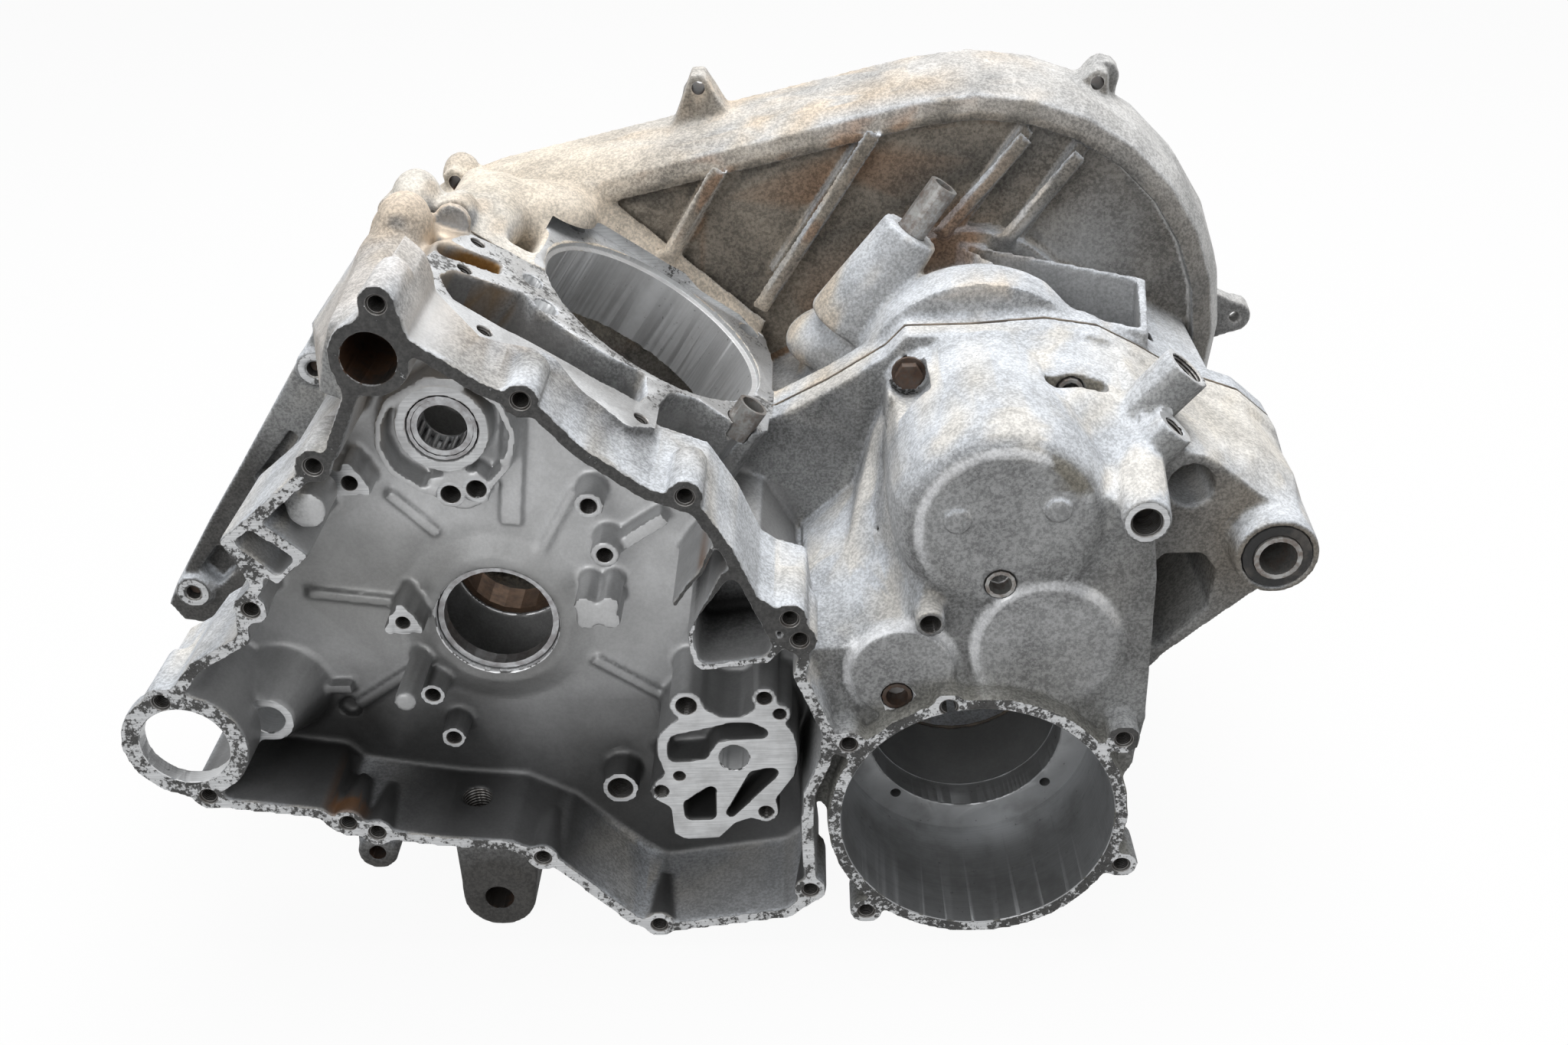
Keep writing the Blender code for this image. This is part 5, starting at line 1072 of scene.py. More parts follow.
# %% Bolt seats and the spigot
BOLT_SEATS = [
    (-153.6, -22.0), (-78.0, 88.3), (-104.0, -44.0), (-62.0, -72.0), (136.0, -121.0), (249.6, -130.7),
]
BOLT_SEAT_RADIUS = 9.2
TOP_BOLT = (173.5, 83.5)
SPIGOT_SIDES = 128


def spigot(cuts):
    """The hole for the cylinder's foot, with the shallow lip round its mouth."""
    cuts.drill(deck(0, 0, -62.0), deck(0, 0, 3.0), 52.25, bored, sides=SPIGOT_SIDES)
    cuts.drill(deck(0, 0, -2.6), deck(0, 0, 3.0), 54.3, bored, sides=SPIGOT_SIDES)
    cuts.drill(deck(0, 0, -3.6), deck(0, 0, -2.4), 52.2, bored, 54.0, SPIGOT_SIDES)


for spot in BOLT_SEATS:
    near_cuts.bore(spot, 100.0, 104.3, BOLT_SEAT_RADIUS, faced)
    near_cuts.bore(spot, 103.0, 118.0, 3.4, threaded, 0.6)
near_cuts.bore(TOP_BOLT, 94.0, 98.2, 9.0, faced)
spigot(near_cuts)
near_cuts.apply(near)

# %% [markdown]
# The far half needs less: its share of the deck, the belt cover's face at the very back, the
# far stud holes, the crank's bore, the seat of the breather tube and the holes in the rim's
# ears.

# %% Face and drill the far half
FAR_DECK = [
    (-58.9, -15.6), (-58.9, 49.0), (-54.0, 54.0), (-36.3, 55.5), (-18.8, 55.5), (40.6, 55.5),
    (55.9, 51.0), (61.0, 30.0), (61.5, -15.6),
]
WHOLE_BACK = [(-200.0, -170.0), (-200.0, 220.0), (400.0, 220.0), (400.0, -170.0)]
BELT_STATION = 250.0
FAR_STUDS = [(-47.0, 48.5), (47.0, 48.5)]
TUBE_HOLE_DEPTH = 17.5
TUBE_HOLE_RADIUS = 7.0
EAR_HOLE = {"near": 222.0, "far": 256.0, "radius": 3.1}

far_cuts = Cuts("far_cuts")
face_deck(far_cuts, FAR_DECK)
far_cuts.skim(WHOLE_BACK, BELT_STATION - SKIM, BELT_STATION + BEYOND, faced)
for spot in FAR_STUDS:
    deck_hole(far_cuts, spot, STUD_DEPTH, STUD_RADIUS, bored)
far_cuts.bore((0.0, 0.0), 172.0, 249.0, 25.7, bored, sides=96)
far_cuts.bore(LOWER_MOUNT, 171.0, 199.0, MOUNT_RADIUS, rusty_bore)
tube_end = TUBE_SEAT - DECK_UP * TUBE_HOLE_DEPTH
far_cuts.drill(tube_end, TUBE_SEAT + DECK_UP * AHEAD, TUBE_HOLE_RADIUS, bored)
for hole, foot in RIM_EARS:
    far_cuts.bore(hole, finish=rusty_bore, **EAR_HOLE)
spigot(far_cuts)
far_cuts.apply(far)
print("faces after machining:", len(near.data.polygons), len(far.data.polygons))

# %% [markdown]
# ## Painting the weather
#
# Where a casting is pale, tan or nearly black depends on how it sat in the machine. Road dust
# settled on the belt housing and on the shelves behind the deck, and oil kept the flywheel room
# clean. Those broad tones are laid on the points of the mesh with soft brushes: a base by
# direction, with painted shade dark on the faces that look down and on the undersides, then
# regions one over another, each with a wavering edge.
# NumPy works on all the points at once, which takes a moment where a loop would take minutes.

# %% Brushes
def smooth(value, low, high):
    t = np.clip((value - low) / (high - low), 0.0, 1.0)
    return t * t * (3.0 - 2.0 * t)


class Canvas:
    """The points of one mesh with their colours, in millimetres from the crankshaft."""

    def __init__(self, skin):
        mesh = skin.data
        count = len(mesh.vertices)
        spots = np.empty(count * 3)
        mesh.vertices.foreach_get("co", spots)
        spots = spots.reshape(-1, 3)
        turn = np.array(skin.matrix_world)
        spots = spots @ turn[:3, :3].T + turn[:3, 3]
        normals = np.empty(count * 3)
        mesh.vertex_normals.foreach_get("vector", normals)
        self.mesh = mesh
        self.spot = (spots - np.array(CRANK)) / MM
        self.x, self.y, self.z = self.spot.T
        self.nx, self.ny, self.nz = normals.reshape(-1, 3).T
        self.paint = np.zeros((count, 3))
        self.clean = np.zeros(count)
        self.baked = np.full(count, 0.3)
        self.wave = sum(
            np.sin(self.spot @ np.array(way) + phase)
            for way, phase in (
                ((0.11, 0.07, -0.05), 0.3), ((-0.06, 0.12, 0.09), 1.7), ((0.19, -0.13, 0.11), 4.0),
                ((0.05, 0.21, -0.17), 2.2), ((-0.31, 0.12, 0.27), 5.1),
            )
        ) / 5.0

    def lay(self, colour, mask):
        mask = np.clip(mask, 0.0, 1.0)[:, None]
        self.paint = self.paint * (1.0 - mask) + np.array(colour) * mask

    def tend(self, name, value, mask):
        mask = np.clip(mask, 0.0, 1.0)
        setattr(self, name, getattr(self, name) * (1.0 - mask) + value * mask)

    def ball(self, centre, radius, soft=0.5, waver=0.25):
        """A soft spot round a point, with a wavering edge."""
        away = np.linalg.norm(self.spot - np.array(centre), axis=1) / radius
        return 1.0 - smooth(away + waver * self.wave, 1.0 - soft, 1.0 + soft)

    def within(self, outline, soft=2.0):
        """1 inside an outline in x and z, 0 outside, soft over some millimetres."""
        inside = np.zeros(len(self.x), dtype=bool)
        away = np.full(len(self.x), 1e9)
        for (ax, az), (bx, bz) in zip(outline, outline[1:] + outline[:1]):
            if az != bz:
                hit = (az > self.z) != (bz > self.z)
                inside ^= hit & (self.x < ax + (self.z - az) / (bz - az) * (bx - ax))
            dx, dz = bx - ax, bz - az
            share = np.clip(((self.x - ax) * dx + (self.z - az) * dz) / (dx * dx + dz * dz), 0.0, 1.0)
            away = np.minimum(away, np.hypot(self.x - ax - share * dx, self.z - az - share * dz))
        return smooth(np.where(inside, away, -away), -soft, soft)

    def round(self, spot, radius, soft=3.0):
        return 1.0 - smooth(np.hypot(self.x - spot[0], self.z - spot[1]), radius - soft, radius + soft)

    def store(self):
        colours = np.concatenate([self.paint, np.ones((len(self.x), 1))], axis=1)
        held = self.mesh.attributes.new("paint", "FLOAT_COLOR", "POINT")
        held.data.foreach_set("color", colours.astype(np.float32).ravel())
        for name in ("clean", "baked"):
            held = self.mesh.attributes.new(name, "FLOAT", "POINT")
            held.data.foreach_set("value", getattr(self, name).astype(np.float32))


print("brushes: lay, tend, ball, within, round")

# %% [markdown]
# The tones are mixed once and named for what they are on the metal, or for the light and shade
# that a few of them paint in. They are colours of the surface, before any lamp lights it.

# %% Tones
HIGHLIGHT_WHITE = (0.95, 0.96, 0.98)
RIM_LIGHT_PALE = (0.85, 0.85, 0.84)
OXIDE = (0.6, 0.625, 0.66)
SATIN = (0.56, 0.565, 0.57)
GREY = (0.42, 0.425, 0.43)
SLATE = (0.29, 0.295, 0.295)
SHADE = (0.16, 0.16, 0.16)
PAINTED_SHADE = (0.15, 0.15, 0.15)
GROOVE_SHADE = (0.14, 0.14, 0.14)
SOOT = (0.1, 0.1, 0.1)
BLACK = (0.05, 0.047, 0.043)
PITCH = (0.012, 0.012, 0.012)
CREAM = (0.70, 0.655, 0.58)
DUST = (0.62, 0.52, 0.41)
TAN = (0.74, 0.65, 0.54)
MUD_AND_SHADE = (0.24, 0.235, 0.225)
EARTH = (0.27, 0.235, 0.19)
RUST = (0.30, 0.155, 0.075)
VARNISH = (0.36, 0.2, 0.05)
print("darkest and lightest:", PITCH, HIGHLIGHT_WHITE)

# %% [markdown]
# The near half starts from its direction: oxide above, and painted shade on the other faces,
# dark below and slate on upright faces. The three discs of the gear housing have a raised
# collar with a painted highlight at its upper left and painted shade in the groove round it.

# %% The near half outside
GEAR_DISCS = [((206.0, 54.0), 33.0), ((167.0, -9.1), 22.0), ((224.7, 0.2), 29.0)]
DISC_FACES = [
    ((224.7, 0.2), 28.0, -15.0, 1.0), ((206.0, 54.0), 31.0, -12.0, 0.9), ((167.0, -9.1), 20.5, -12.0, 0.9),
]
SMUDGES = [
    ((-36.0, 92.0, 150.0), 12.0), ((-3.0, 22.0, 145.0), 11.0), ((11.0, 24.0, 132.0), 12.0),
    ((30.0, 26.0, 116.0), 13.0), ((46.0, 36.0, 102.0), 15.0), ((62.0, 36.0, 90.0), 13.0),
    ((140.0, 90.0, 60.0), 24.0),
]
SMUDGED_SHELF = ((30.0, 40.0, 120.0), 92.0)

canvas = Canvas(near)
everywhere = np.ones(len(canvas.x))
up = smooth(canvas.nz + 0.2 * canvas.wave, -0.05, 0.6)
front = smooth(-canvas.ny, 0.6, 0.88)
canvas.lay(GREY, everywhere)
canvas.lay(OXIDE, up)
# Painted shade: downward faces are laid dark, and forward faces slate.
canvas.lay(PAINTED_SHADE, smooth(-canvas.nz, 0.1, 0.6))
canvas.lay(SLATE, 0.9 * front)
canvas.lay(CREAM, 0.6 * up * smooth(canvas.wave, 0.0, 0.4))
plate = smooth(canvas.x, 130.0, 140.0) * smooth(-canvas.z, -16.0, 4.0)
canvas.lay(SLATE, 0.85 * plate * (1 - smooth(canvas.y, 60.0, 78.0)))

for spot, radius, station, weight in DISC_FACES:
    disc = canvas.round(spot, radius, 1.5) * smooth(-canvas.y, -20.0, station)
    canvas.lay(GREY, weight * disc * front)
# Painted highlight on the upper left of each collar, and painted shade in the groove round it.
for spot, radius in GEAR_DISCS:
    ahead = smooth(-canvas.y, -24.0, -12.0)
    collar_highlight = canvas.round(spot, radius + 2.0, 1.0) * (1 - canvas.round(spot, radius - 1.5, 1.0))
    upper_left = canvas.z - spot[1] - 0.5 * (canvas.x - spot[0])
    canvas.lay(HIGHLIGHT_WHITE, 0.9 * collar_highlight * smooth(upper_left, -0.6 * radius, 0.5 * radius) * ahead)
    groove_shade = canvas.round(spot, radius + 5.5, 1.0) * (1 - canvas.round(spot, radius + 2.5, 1.0))
    canvas.lay(GROOVE_SHADE, 0.5 * groove_shade * ahead)
for place, reach in SMUDGES:
    canvas.lay(SOOT, 0.75 * canvas.ball(place, reach, 0.7, 0.9))
shelf = canvas.ball(*SMUDGED_SHELF, 0.4, 0.3) * smooth(canvas.wave, 0.05, 0.3)
canvas.lay(SHADE, 0.55 * up * shelf)
print("points on the near half:", len(canvas.x))

# %% [markdown]
# The generator ran in oil mist inside its room, so the metal there is smooth and satin. Its
# colour runs from light at the top to nearly black at the bottom. The last number of each patch
# is its tone.

# %% The generator room
ROOM = [
    (-24.0, 148.0), (-10.0, 152.0), (17.0, 122.0), (36.0, 112.0), (49.0, 96.0), (70.0, 79.0),
    (88.0, 71.0), (98.0, 54.0), (106.0, 32.0), (126.0, 22.0), (124.0, -2.0), (134.0, -30.0),
    (125.0, -81.0), (126.0, -114.0), (117.0, -123.0), (62.0, -131.0), (20.0, -94.0), (-48.0, -77.0),
    (-120.0, -57.0), (-140.0, -37.0), (-134.0, -12.0), (-90.0, 26.0), (-78.0, 46.0), (-52.0, 90.0),
    (-40.0, 100.0), (-30.0, 122.0),
]
ROOM_PATCHES = [
    ((-45.0, 45.0, -72.0), 44.0, 0.02), ((-85.0, 40.0, -55.0), 26.0, 0.02),
    ((62.0, 40.0, -100.0), 46.0, 0.07), ((106.0, 30.0, -70.0), 40.0, 0.05),
    ((0.0, 45.0, 0.0), 36.0, 0.2), ((-60.0, 40.0, 20.0), 34.0, 0.24),
]
ROOM_LOW = (0.13, 0.132, 0.135)
TUNNEL_GREY = (0.3, 0.3, 0.3)
PASSAGE = [(84.0, -1.0), (116.0, -1.0), (116.0, 8.0), (92.0, 36.0), (84.0, 30.0)]

room = canvas.within(ROOM) * (1 - smooth(canvas.y, 50.0, 54.0)) * smooth(canvas.y, 0.3, 1.5)
canvas.lay(SATIN, room)
canvas.tend("clean", 1.0, room)
canvas.lay(ROOM_LOW, 0.9 * room * smooth(-canvas.z + 8.0 * canvas.wave, -30.0, 90.0))
for place, reach, tone in ROOM_PATCHES:
    canvas.lay((tone, tone, 0.98 * tone), 0.8 * room * canvas.ball(place, reach, 0.6, 0.3))
canvas.lay(SOOT, 0.6 * room * canvas.round((0.0, 0.0), 27.0, 3.0))
tunnel = canvas.within(ROOM, 1.0) * smooth(canvas.y, 50.0, 54.0)
canvas.lay(TUNNEL_GREY, tunnel)
passage = canvas.within(PASSAGE, 2.0) * smooth(canvas.y, 3.0, 9.0) * (1 - smooth(canvas.y, 84.0, 90.0))
canvas.lay(PITCH, passage)
canvas.tend("clean", 0.0, passage)
canvas.tend("clean", 0.8, tunnel)
print("points in the room:", int((room > 0.5).sum()))

# %% [markdown]
# The output bore is oily inside, with a brownish flange round it. The mount arm at the right
# lies in the shade of the housing, painted dark on its side and lower faces as that shade, with
# earth round its bush and dust on its top. The bottom of the case is painted black as shade too.

# %% Output bore, flanks and mount arm
BORE_GREY = (0.3, 0.305, 0.31)
FLANGE_BROWN = (0.17, 0.165, 0.14)
SEAT_BROWN = (0.24, 0.225, 0.19)
LENS = (237.5, 84.4)

bore = canvas.round(OUTPUT, 57.5, 0.6) * smooth(canvas.y, 0.5, 2.0)
canvas.lay(BORE_GREY, bore)
canvas.tend("clean", 1.0, bore)
flange = canvas.round(OUTPUT, 68.0, 3.0) * (1 - bore) * (1 - smooth(canvas.y, 8.0, 16.0))
canvas.lay(FLANGE_BROWN, 0.7 * flange)
left = smooth(-canvas.x - 0.62 * canvas.z, 60.0, 95.0) * smooth(canvas.y, 96.0, 106.0)
canvas.lay(BLACK, 0.85 * left * front)
# Painted shade: the bottom of the case is laid black.
under = smooth(-canvas.z, 84.0, 108.0) * smooth(-canvas.x, -25.0, -5.0)
canvas.lay(BLACK, 0.9 * under * smooth(canvas.y, 6.0, 14.0))
arm_shade = canvas.ball((300.0, 60.0, 20.0), 60.0, 0.3, 0.1)
# Painted shade: the arm's side and lower faces are laid dark, for the housing's shade.
canvas.lay(MUD_AND_SHADE, 0.85 * arm_shade * (1 - up))
canvas.lay(EARTH, 0.7 * canvas.ball((318.0, 40.0, 40.0), 34.0) * (1 - up))
canvas.lay(CREAM, 0.7 * canvas.ball((300.0, 95.0, 66.0), 44.0) * up)
canvas.lay(DUST, 0.85 * canvas.ball((-30.0, 112.0, 158.0), 27.0, 0.4, 0.4) * (1 - front))
canvas.lay(DUST, 0.45 * canvas.ball((-36.0, 60.0, 140.0), 50.0, 0.5, 0.8) * (1 - front))
canvas.lay(SEAT_BROWN, canvas.round(LENS, 15.0, 1.0) * front)
print("points in the output bore:", int((bore > 0.5).sum()))

# %% [markdown]
# Two spots of rust have run from steel that is gone, and old oil has varnished the slot in the
# deck. What is left here is where the gasket baked on: thick along the upper edge of the cover
# face, thin at the left and round the output flange, none on the faces inside the room.

# %% Rust and baked gasket
cover = 1 - smooth(canvas.y, 1.0, 3.0)
above = canvas.x * DECK_UP.x + canvas.z * DECK_UP.z - DECK_HEIGHT
slot = (1 - smooth(above, -2.0, -0.6)) * canvas.ball(deck(-74.0, -42.0, -12.0), 17.0, 0.2, 0.0)
upper_edge = smooth(canvas.z + 0.35 * canvas.x, 42.0, 62.0) * smooth(canvas.x, -62.0, -48.0)
inner_faces = smooth(canvas.y, 5.0, 9.0) * (1 - smooth(canvas.y, 50.0, 60.0))

canvas.lay(RUST, 0.9 * canvas.ball((91.0, 5.0, 51.0), 5.0))
canvas.lay(RUST, 0.95 * canvas.ball((-67.0, 8.0, -68.0), 8.0) * (1 - smooth(canvas.y, 9.0, 13.0)))
canvas.lay(VARNISH, 0.9 * slot)
canvas.tend("baked", 0.28, everywhere)
canvas.tend("baked", 0.95, upper_edge * cover)
canvas.tend("baked", 0.35, smooth(-canvas.x, 60.0, 90.0) * cover)
canvas.tend("baked", 0.45, canvas.round(OUTPUT, 66.0) * cover)
canvas.tend("baked", -0.35, inner_faces)
canvas.tend("baked", 0.2, smooth(canvas.y, 60.0, 75.0))
canvas.store()
print("near half painted")

# %% [markdown]
# The far half is dustier, and more so to the left, where the wheel threw its dirt. Its rim runs
# from tan at the left to plain grey at the right, with painted light on its lower and side faces
# at the right end, and painted shade on the forward faces far behind it.

# %% The far half and its rim
RIM_TAN = (0.54, 0.51, 0.47)
RIM_GREY = (0.58, 0.58, 0.575)

canvas = Canvas(far)
up = smooth(canvas.nz + 0.25 * canvas.wave, -0.1, 0.6)
front = smooth(-canvas.ny, 0.6, 0.9)
canvas.lay(GREY, np.ones(len(canvas.x)))
canvas.lay(OXIDE, up)
# Painted shade: downward faces are laid dark.
canvas.lay(PAINTED_SHADE, 0.8 * smooth(-canvas.nz, 0.1, 0.7))
dusty = smooth(canvas.wave + 0.006 * (150.0 - canvas.x), -0.3, 0.5)
canvas.lay(CREAM, 0.85 * up * dusty)
canvas.lay(DUST, 0.6 * dusty * smooth(canvas.wave, 0.0, 0.5))

rim = smooth(canvas.y, 198.0, 206.0)
rim_dust = smooth(canvas.wave, -0.1, 0.5) * (1 - 0.8 * smooth(canvas.x, 150.0, 280.0))
canvas.lay(RIM_TAN, 0.75 * rim)
canvas.lay(DUST, 0.75 * rim * rim_dust)
canvas.lay(RIM_GREY, 0.8 * rim * smooth(canvas.x, 200.0, 280.0))
canvas.lay(SLATE, 0.4 * rim * smooth(-canvas.wave, 0.1, 0.5))
# Painted light: the rim's lower and side faces at its right end are laid pale.
canvas.lay(RIM_LIGHT_PALE, 0.8 * rim * smooth(canvas.x, 240.0, 290.0) * (1 - up))
# Painted shade: forward faces far back behind the rim are laid dark.
canvas.lay(PAINTED_SHADE, 0.8 * smooth(canvas.y, 232.0, 235.0) * front)
print("points on the far half:", len(canvas.x))

# %% [markdown]
# The wall behind the ribs is the darkest part of the far half: burnt earth, with oil patches and
# rust between them. The ribs stand out of it, and are worn paler along their crests. Dust lies
# thick in the corner behind the deck, so the fillet there is tan.

# %% The belt housing's wall
OIL_BROWN = (0.1, 0.095, 0.085)
CREST_TAN = (0.44, 0.38, 0.32)
CORNER_TAN = (0.72, 0.64, 0.53)
SHELF_TAN = (0.62, 0.55, 0.46)
EAR_SHADE_BROWN = (0.2, 0.18, 0.15)

wall = front * smooth(canvas.y, 186.5, 188.5) * (1 - smooth(canvas.y, 211.0, 214.0))
rusty = smooth(-canvas.wave, 0.15, 0.5) * (1 - smooth(canvas.x, 150.0, 260.0))
canvas.lay(EARTH, 0.95 * wall)
canvas.lay(OIL_BROWN, 0.75 * wall * smooth(canvas.wave, -0.05, 0.4))
canvas.lay(RUST, 0.55 * wall * rusty)
canvas.lay(MUD_AND_SHADE, 0.7 * wall * smooth(canvas.x, 200.0, 280.0))
crest = smooth(canvas.y, 184.0, 185.0) * (1 - smooth(canvas.y, 187.5, 190.0)) * (1 - up * 0.5)
canvas.lay(CREST_TAN, 0.85 * crest)
canvas.lay(RUST, 0.5 * canvas.ball((196.0, 188.0, 108.0), 16.0, 0.5, 0.5))
canvas.lay(CORNER_TAN, 0.7 * canvas.ball((-10.0, 210.0, 112.0), 60.0, 0.4, 0.4))
canvas.lay(SHELF_TAN, 0.7 * canvas.ball((40.0, 186.0, 112.0), 46.0, 0.4, 0.4) * (1 - wall))
# Painted shade: the lower half of each web's face under an ear, in brown.
for hole, foot in RIM_EARS:
    face = canvas.ball((hole[0], 230.0, hole[1] - 5.0), 11.0)
    canvas.lay(EAR_SHADE_BROWN, 0.75 * face * front)

above = canvas.x * DECK_UP.x + canvas.z * DECK_UP.z - DECK_HEIGHT
across = canvas.x * DECK_ACROSS.x + canvas.z * DECK_ACROSS.z
band = smooth(above, -9.0, -4.0) * (1 - smooth(above, 9.0, 24.0))
band = band * smooth(canvas.y, 186.0, 189.0) * (1 - smooth(canvas.y, 196.0, 200.0))
band = band * smooth(across, -74.0, -60.0) * (1 - smooth(across, 58.0, 72.0))
canvas.lay(TAN, 0.9 * band)
print("points on the wall:", int((wall > 0.5).sum()))

# %% [markdown]
# The crank room and the filler's hollow are clean inside, because they ran in oil too.

# %% Inside the far half
CRANK_GREY = (0.42, 0.425, 0.43)
FILLER_GREY = (0.5, 0.51, 0.52)

inside = canvas.round((12.0, 8.0), 60.0, 30.0)
inside = inside * smooth(canvas.y, 124.0, 128.0) * (1 - smooth(canvas.y, 194.0, 197.0))
inside = inside * (1 - smooth(above, 100.0 - DECK_HEIGHT, 108.0 - DECK_HEIGHT))
canvas.lay(CRANK_GREY, inside)
canvas.tend("clean", 0.9, inside)
mouth = canvas.ball((253.0, 160.0, 78.0), 52.0, 0.2, 0.0) * (1 - up) * smooth(canvas.y, 135.0, 140.0)
canvas.lay(FILLER_GREY, 0.9 * mouth)
canvas.tend("clean", 0.6, mouth)
canvas.tend("baked", 0.0, np.ones(len(canvas.x)))
canvas.store()
print("far half painted")

# %% [markdown]
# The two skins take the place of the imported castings. Faces that meet at more than 38 degrees
# keep a sharp edge, so that the milled cuts stay crisp while the cast skin flows.

# %% Hand over the castings
SHARP = math.radians(38.0)

for skin, node in ((near, "crankcase_left"), (far, "crankcase_right")):
    skin.data.shade_smooth()
    skin.data.set_sharp_from_angle(angle=SHARP)
    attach(skin, "root")
    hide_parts(node)
    print(skin.name, "finishes:", [m.name for m in skin.data.materials])

# %% [markdown]
# ## Steel, bronze, gasket and rubber
#
# The small pieces keep their packed forms and get finishes of their own. Ground bearing steel is
# grey with a film of oil, the bolts have gone brown, and the mount's rubber is matt and dusty.

# %% Finishes of the small pieces
RUST_BROWN = (0.15, 0.075, 0.04)


def steel_finish(name, light, dark, rust, metallic=0.9, roughness=0.32):
    f = Finish(name)
    spots = f.noise(1.6, detail=6.0, roughness=0.7)
    broad = f.noise(7.0, detail=4.0)
    colour = f.mix(f.step(broad, 0.35, 0.7), light, dark)
    brown = f.times(f.step(f.plus(spots, f.times(broad, 0.6)), 0.7, 0.95), rust)
    colour = f.mix(brown, colour, RUST_BROWN)
    # Painted shade with dirt: the colour darkens where the surface is hidden.
    colour = f.mix(f.times(f.step(f.hidden(3.0), 0.4, 0.9), 0.6), colour, DARK_GRIME)
    rough = f.plus(roughness, f.times(brown, 0.45))
    shine = f.times(f.minus(1.0, brown), metallic)
    return f.done(colour, rough, shine, spots, 0.35, 0.1)


def soft_finish(name, colour, dust, size):
    f = Finish(name)
    spots = f.noise(size, detail=6.0, roughness=0.7)
    broad = f.noise(6.0 * size, detail=3.0)
    mixed = f.mix(f.times(f.step(broad, 0.4, 0.7), 0.6), colour, dust)
    mixed = f.mix(f.times(f.step(spots, 0.5, 0.75), 0.4), mixed, tuple(0.4 * c for c in colour))
    return f.done(mixed, 0.85, 0.0, spots, 0.5, 0.2)


steel = steel_finish("ground_steel", (0.5, 0.51, 0.52), (0.28, 0.28, 0.29), 0.15)
zinc = steel_finish("plated_steel", (0.4, 0.4, 0.39), (0.2, 0.19, 0.18), 0.35, 0.75, 0.45)
rusted = steel_finish("rusted_bolt", (0.11, 0.085, 0.07), (0.05, 0.035, 0.028), 0.35, 0.4, 0.6)
bronze = steel_finish("worn_bronze", (0.3, 0.2, 0.14), (0.12, 0.09, 0.07), 0.3, 0.8, 0.4)
sheet = soft_finish("gasket_sheet", (0.16, 0.14, 0.12), (0.4, 0.33, 0.25), 2.0)
rubber = soft_finish("mount_rubber", (0.05, 0.05, 0.05), (0.22, 0.2, 0.18), 1.5)
print("finishes of the small pieces:", len((steel, zinc, rusted, bronze, sheet, rubber)))

# %% [markdown]
# The balancer's shaft runs in a needle bearing: thin rollers side by side in a ring, held by a
# cage of sheet steel. From the front it shows as a circle of bright rollers, so here the packed
# ring is replaced by real rollers, with a thin steel ring at each end to hold them.

# %% Needle bearing
BALANCER = (-8.8, 94.0)
NEEDLES = 18
NEEDLE_RADIUS = 1.15
NEEDLE_SIDES = 14
CAGE_RING = 1.1
CAGE_DEPTH = 2.2
CAGE_CLEAR = 2.4
CAGE_SIDES = 64
CAGE_SHARP = math.radians(40.0)


def round_balancer(radius, y, angle):
    """A point on a circle round the balancer's shaft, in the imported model's metres."""
    x = BALANCER[0] + radius * math.cos(angle)
    z = BALANCER[1] + radius * math.sin(angle)
    return at(x, y, z)


def needles(work, ring, start, end):
    """Rollers side by side between two stations, on a circle of the ring's radius."""
    lying = Matrix.Rotation(math.pi / 2, 4, "X")
    length = (end - start - CAGE_CLEAR) * MM
    thick = NEEDLE_RADIUS * MM
    for i in range(NEEDLES):
        spot = round_balancer(ring, (start + end) / 2, 2 * math.pi * i / NEEDLES)
        where = Matrix.Translation(spot) @ lying
        bmesh.ops.create_cone(
            work, cap_ends=True, segments=NEEDLE_SIDES, radius1=thick, radius2=thick, depth=length,
            matrix=where,
        )


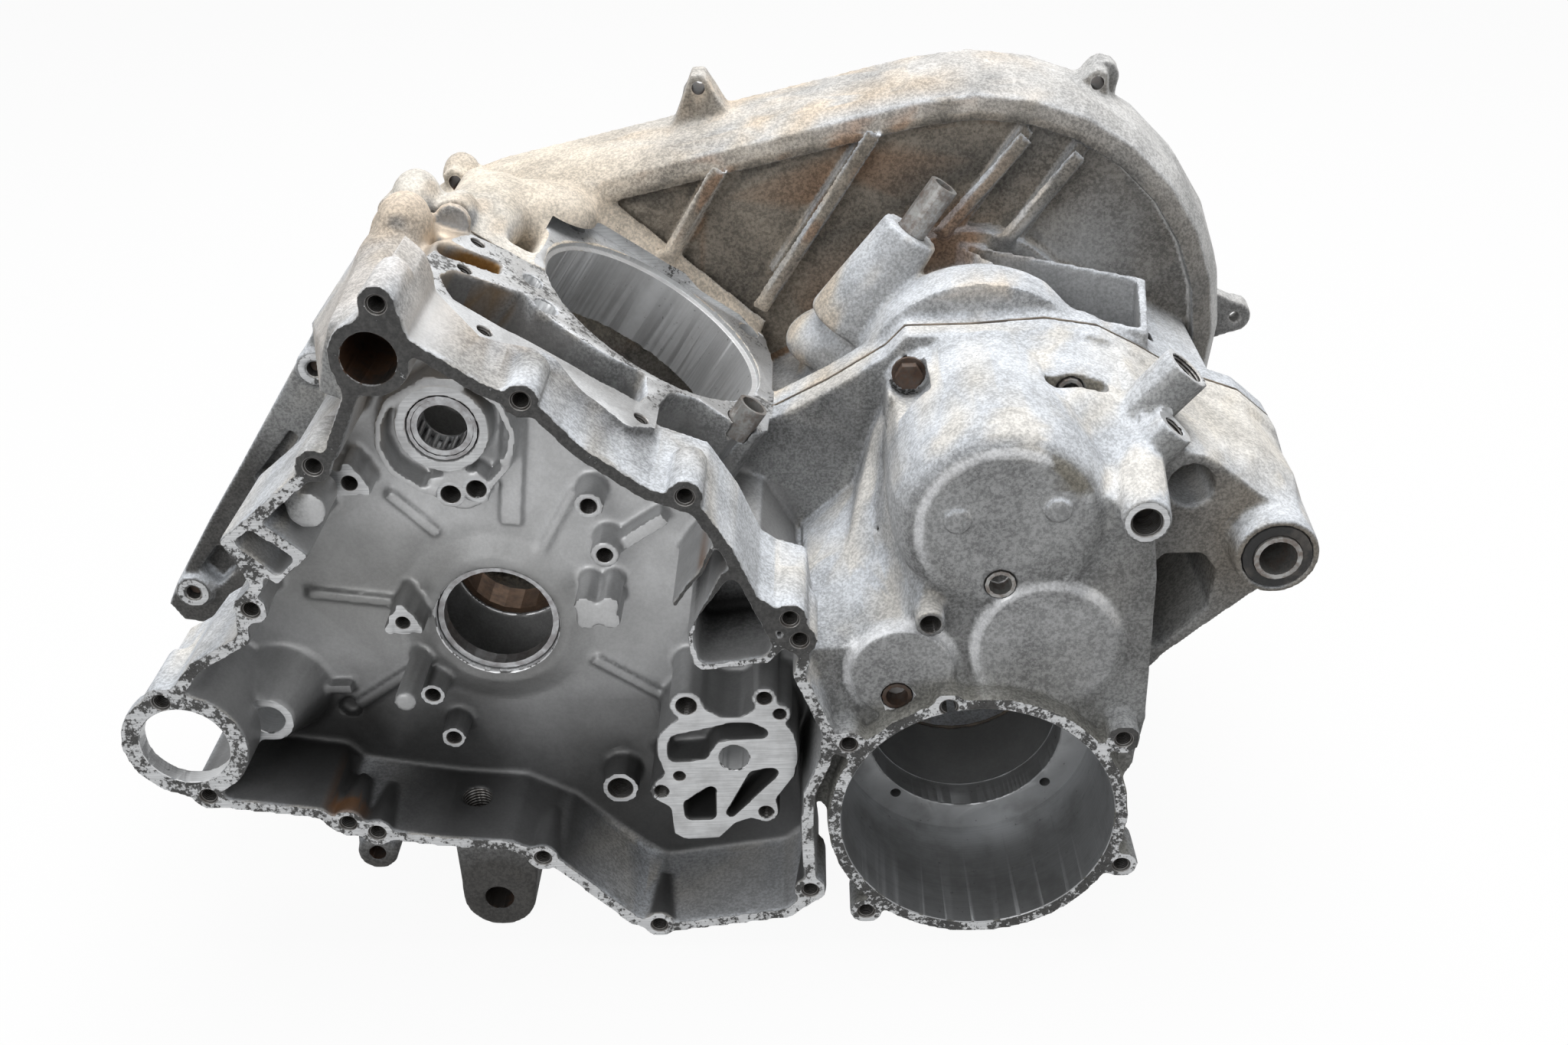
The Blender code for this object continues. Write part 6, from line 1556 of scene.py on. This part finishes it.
def cage_ring(work, outer, start):
    """One thin ring that holds the rollers at an end."""
    inner = outer - CAGE_DEPTH
    end = start + CAGE_RING
    loops = []
    for y, radius in ((start, outer), (start, inner), (end, inner), (end, outer)):
        angles = [2 * math.pi * i / CAGE_SIDES for i in range(CAGE_SIDES)]
        loops.append([work.verts.new(round_balancer(radius, y, a)) for a in angles])
    for one, other in zip(loops, loops[1:] + loops[:1]):
        for i in range(CAGE_SIDES):
            j = (i + 1) % CAGE_SIDES
            work.faces.new((one[i], one[j], other[j], other[i]))


def needle_cage():
    """The balancer's bearing as it shows from the front: rollers between two thin rings of a cage."""
    low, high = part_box("balancer_bearing_cage")
    near_end, far_end = (low.y - CRANK.y) / MM, (high.y - CRANK.y) / MM
    outer = (high.x - low.x) / MM / 2
    work = bmesh.new()
    needles(work, outer - NEEDLE_RADIUS, near_end, far_end)
    for start in (near_end, far_end - CAGE_RING):
        cage_ring(work, outer, start)
    bmesh.ops.recalc_face_normals(work, faces=work.faces)
    mesh = bpy.data.meshes.new("needle_bearing")
    work.to_mesh(mesh)
    work.free()
    mesh.shade_smooth()
    mesh.set_sharp_from_angle(angle=CAGE_SHARP)
    mesh.materials.append(steel)
    cage = bpy.data.objects.new("needle_bearing", mesh)
    bpy.context.scene.collection.objects.link(cage)
    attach(cage, "root")
    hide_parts("balancer_bearing_cage")
    return cage


print("needle bearing faces:", len(needle_cage().data.polygons))

# %% [markdown]
# What is left keeps its packed form. The table says which finish each piece wears, and every
# piece that isn't named there is a rusted bolt.

# %% Dress the small pieces
DRESS = {
    "crank_seal_ring": steel, "balancer_bearing_shell": steel, "balancer_bearing_cage": steel,
    "balancer_bearing_right": steel, "driven_shaft_bearing_race": steel, "cylinder_dowel_front": zinc,
    "breather_tube": zinc, "case_dowel_left": zinc, "case_dowel_right": zinc, "top_bolt_sleeve": zinc,
    "main_bush_left": bronze, "main_bush_right": bronze, "case_gasket": sheet,
    "rear_mount_bush_rubber": rubber, "rear_mount_bush_sleeve": zinc, "shift_shaft_bush": zinc,
    "lower_shaft_bush": rusted,
}
for name, node in nodes.items():
    if name.startswith("crankcase"):
        continue
    node.data.materials.clear()
    node.data.materials.append(DRESS.get(name, rusted))
print("small pieces dressed:", len(nodes) - 2)
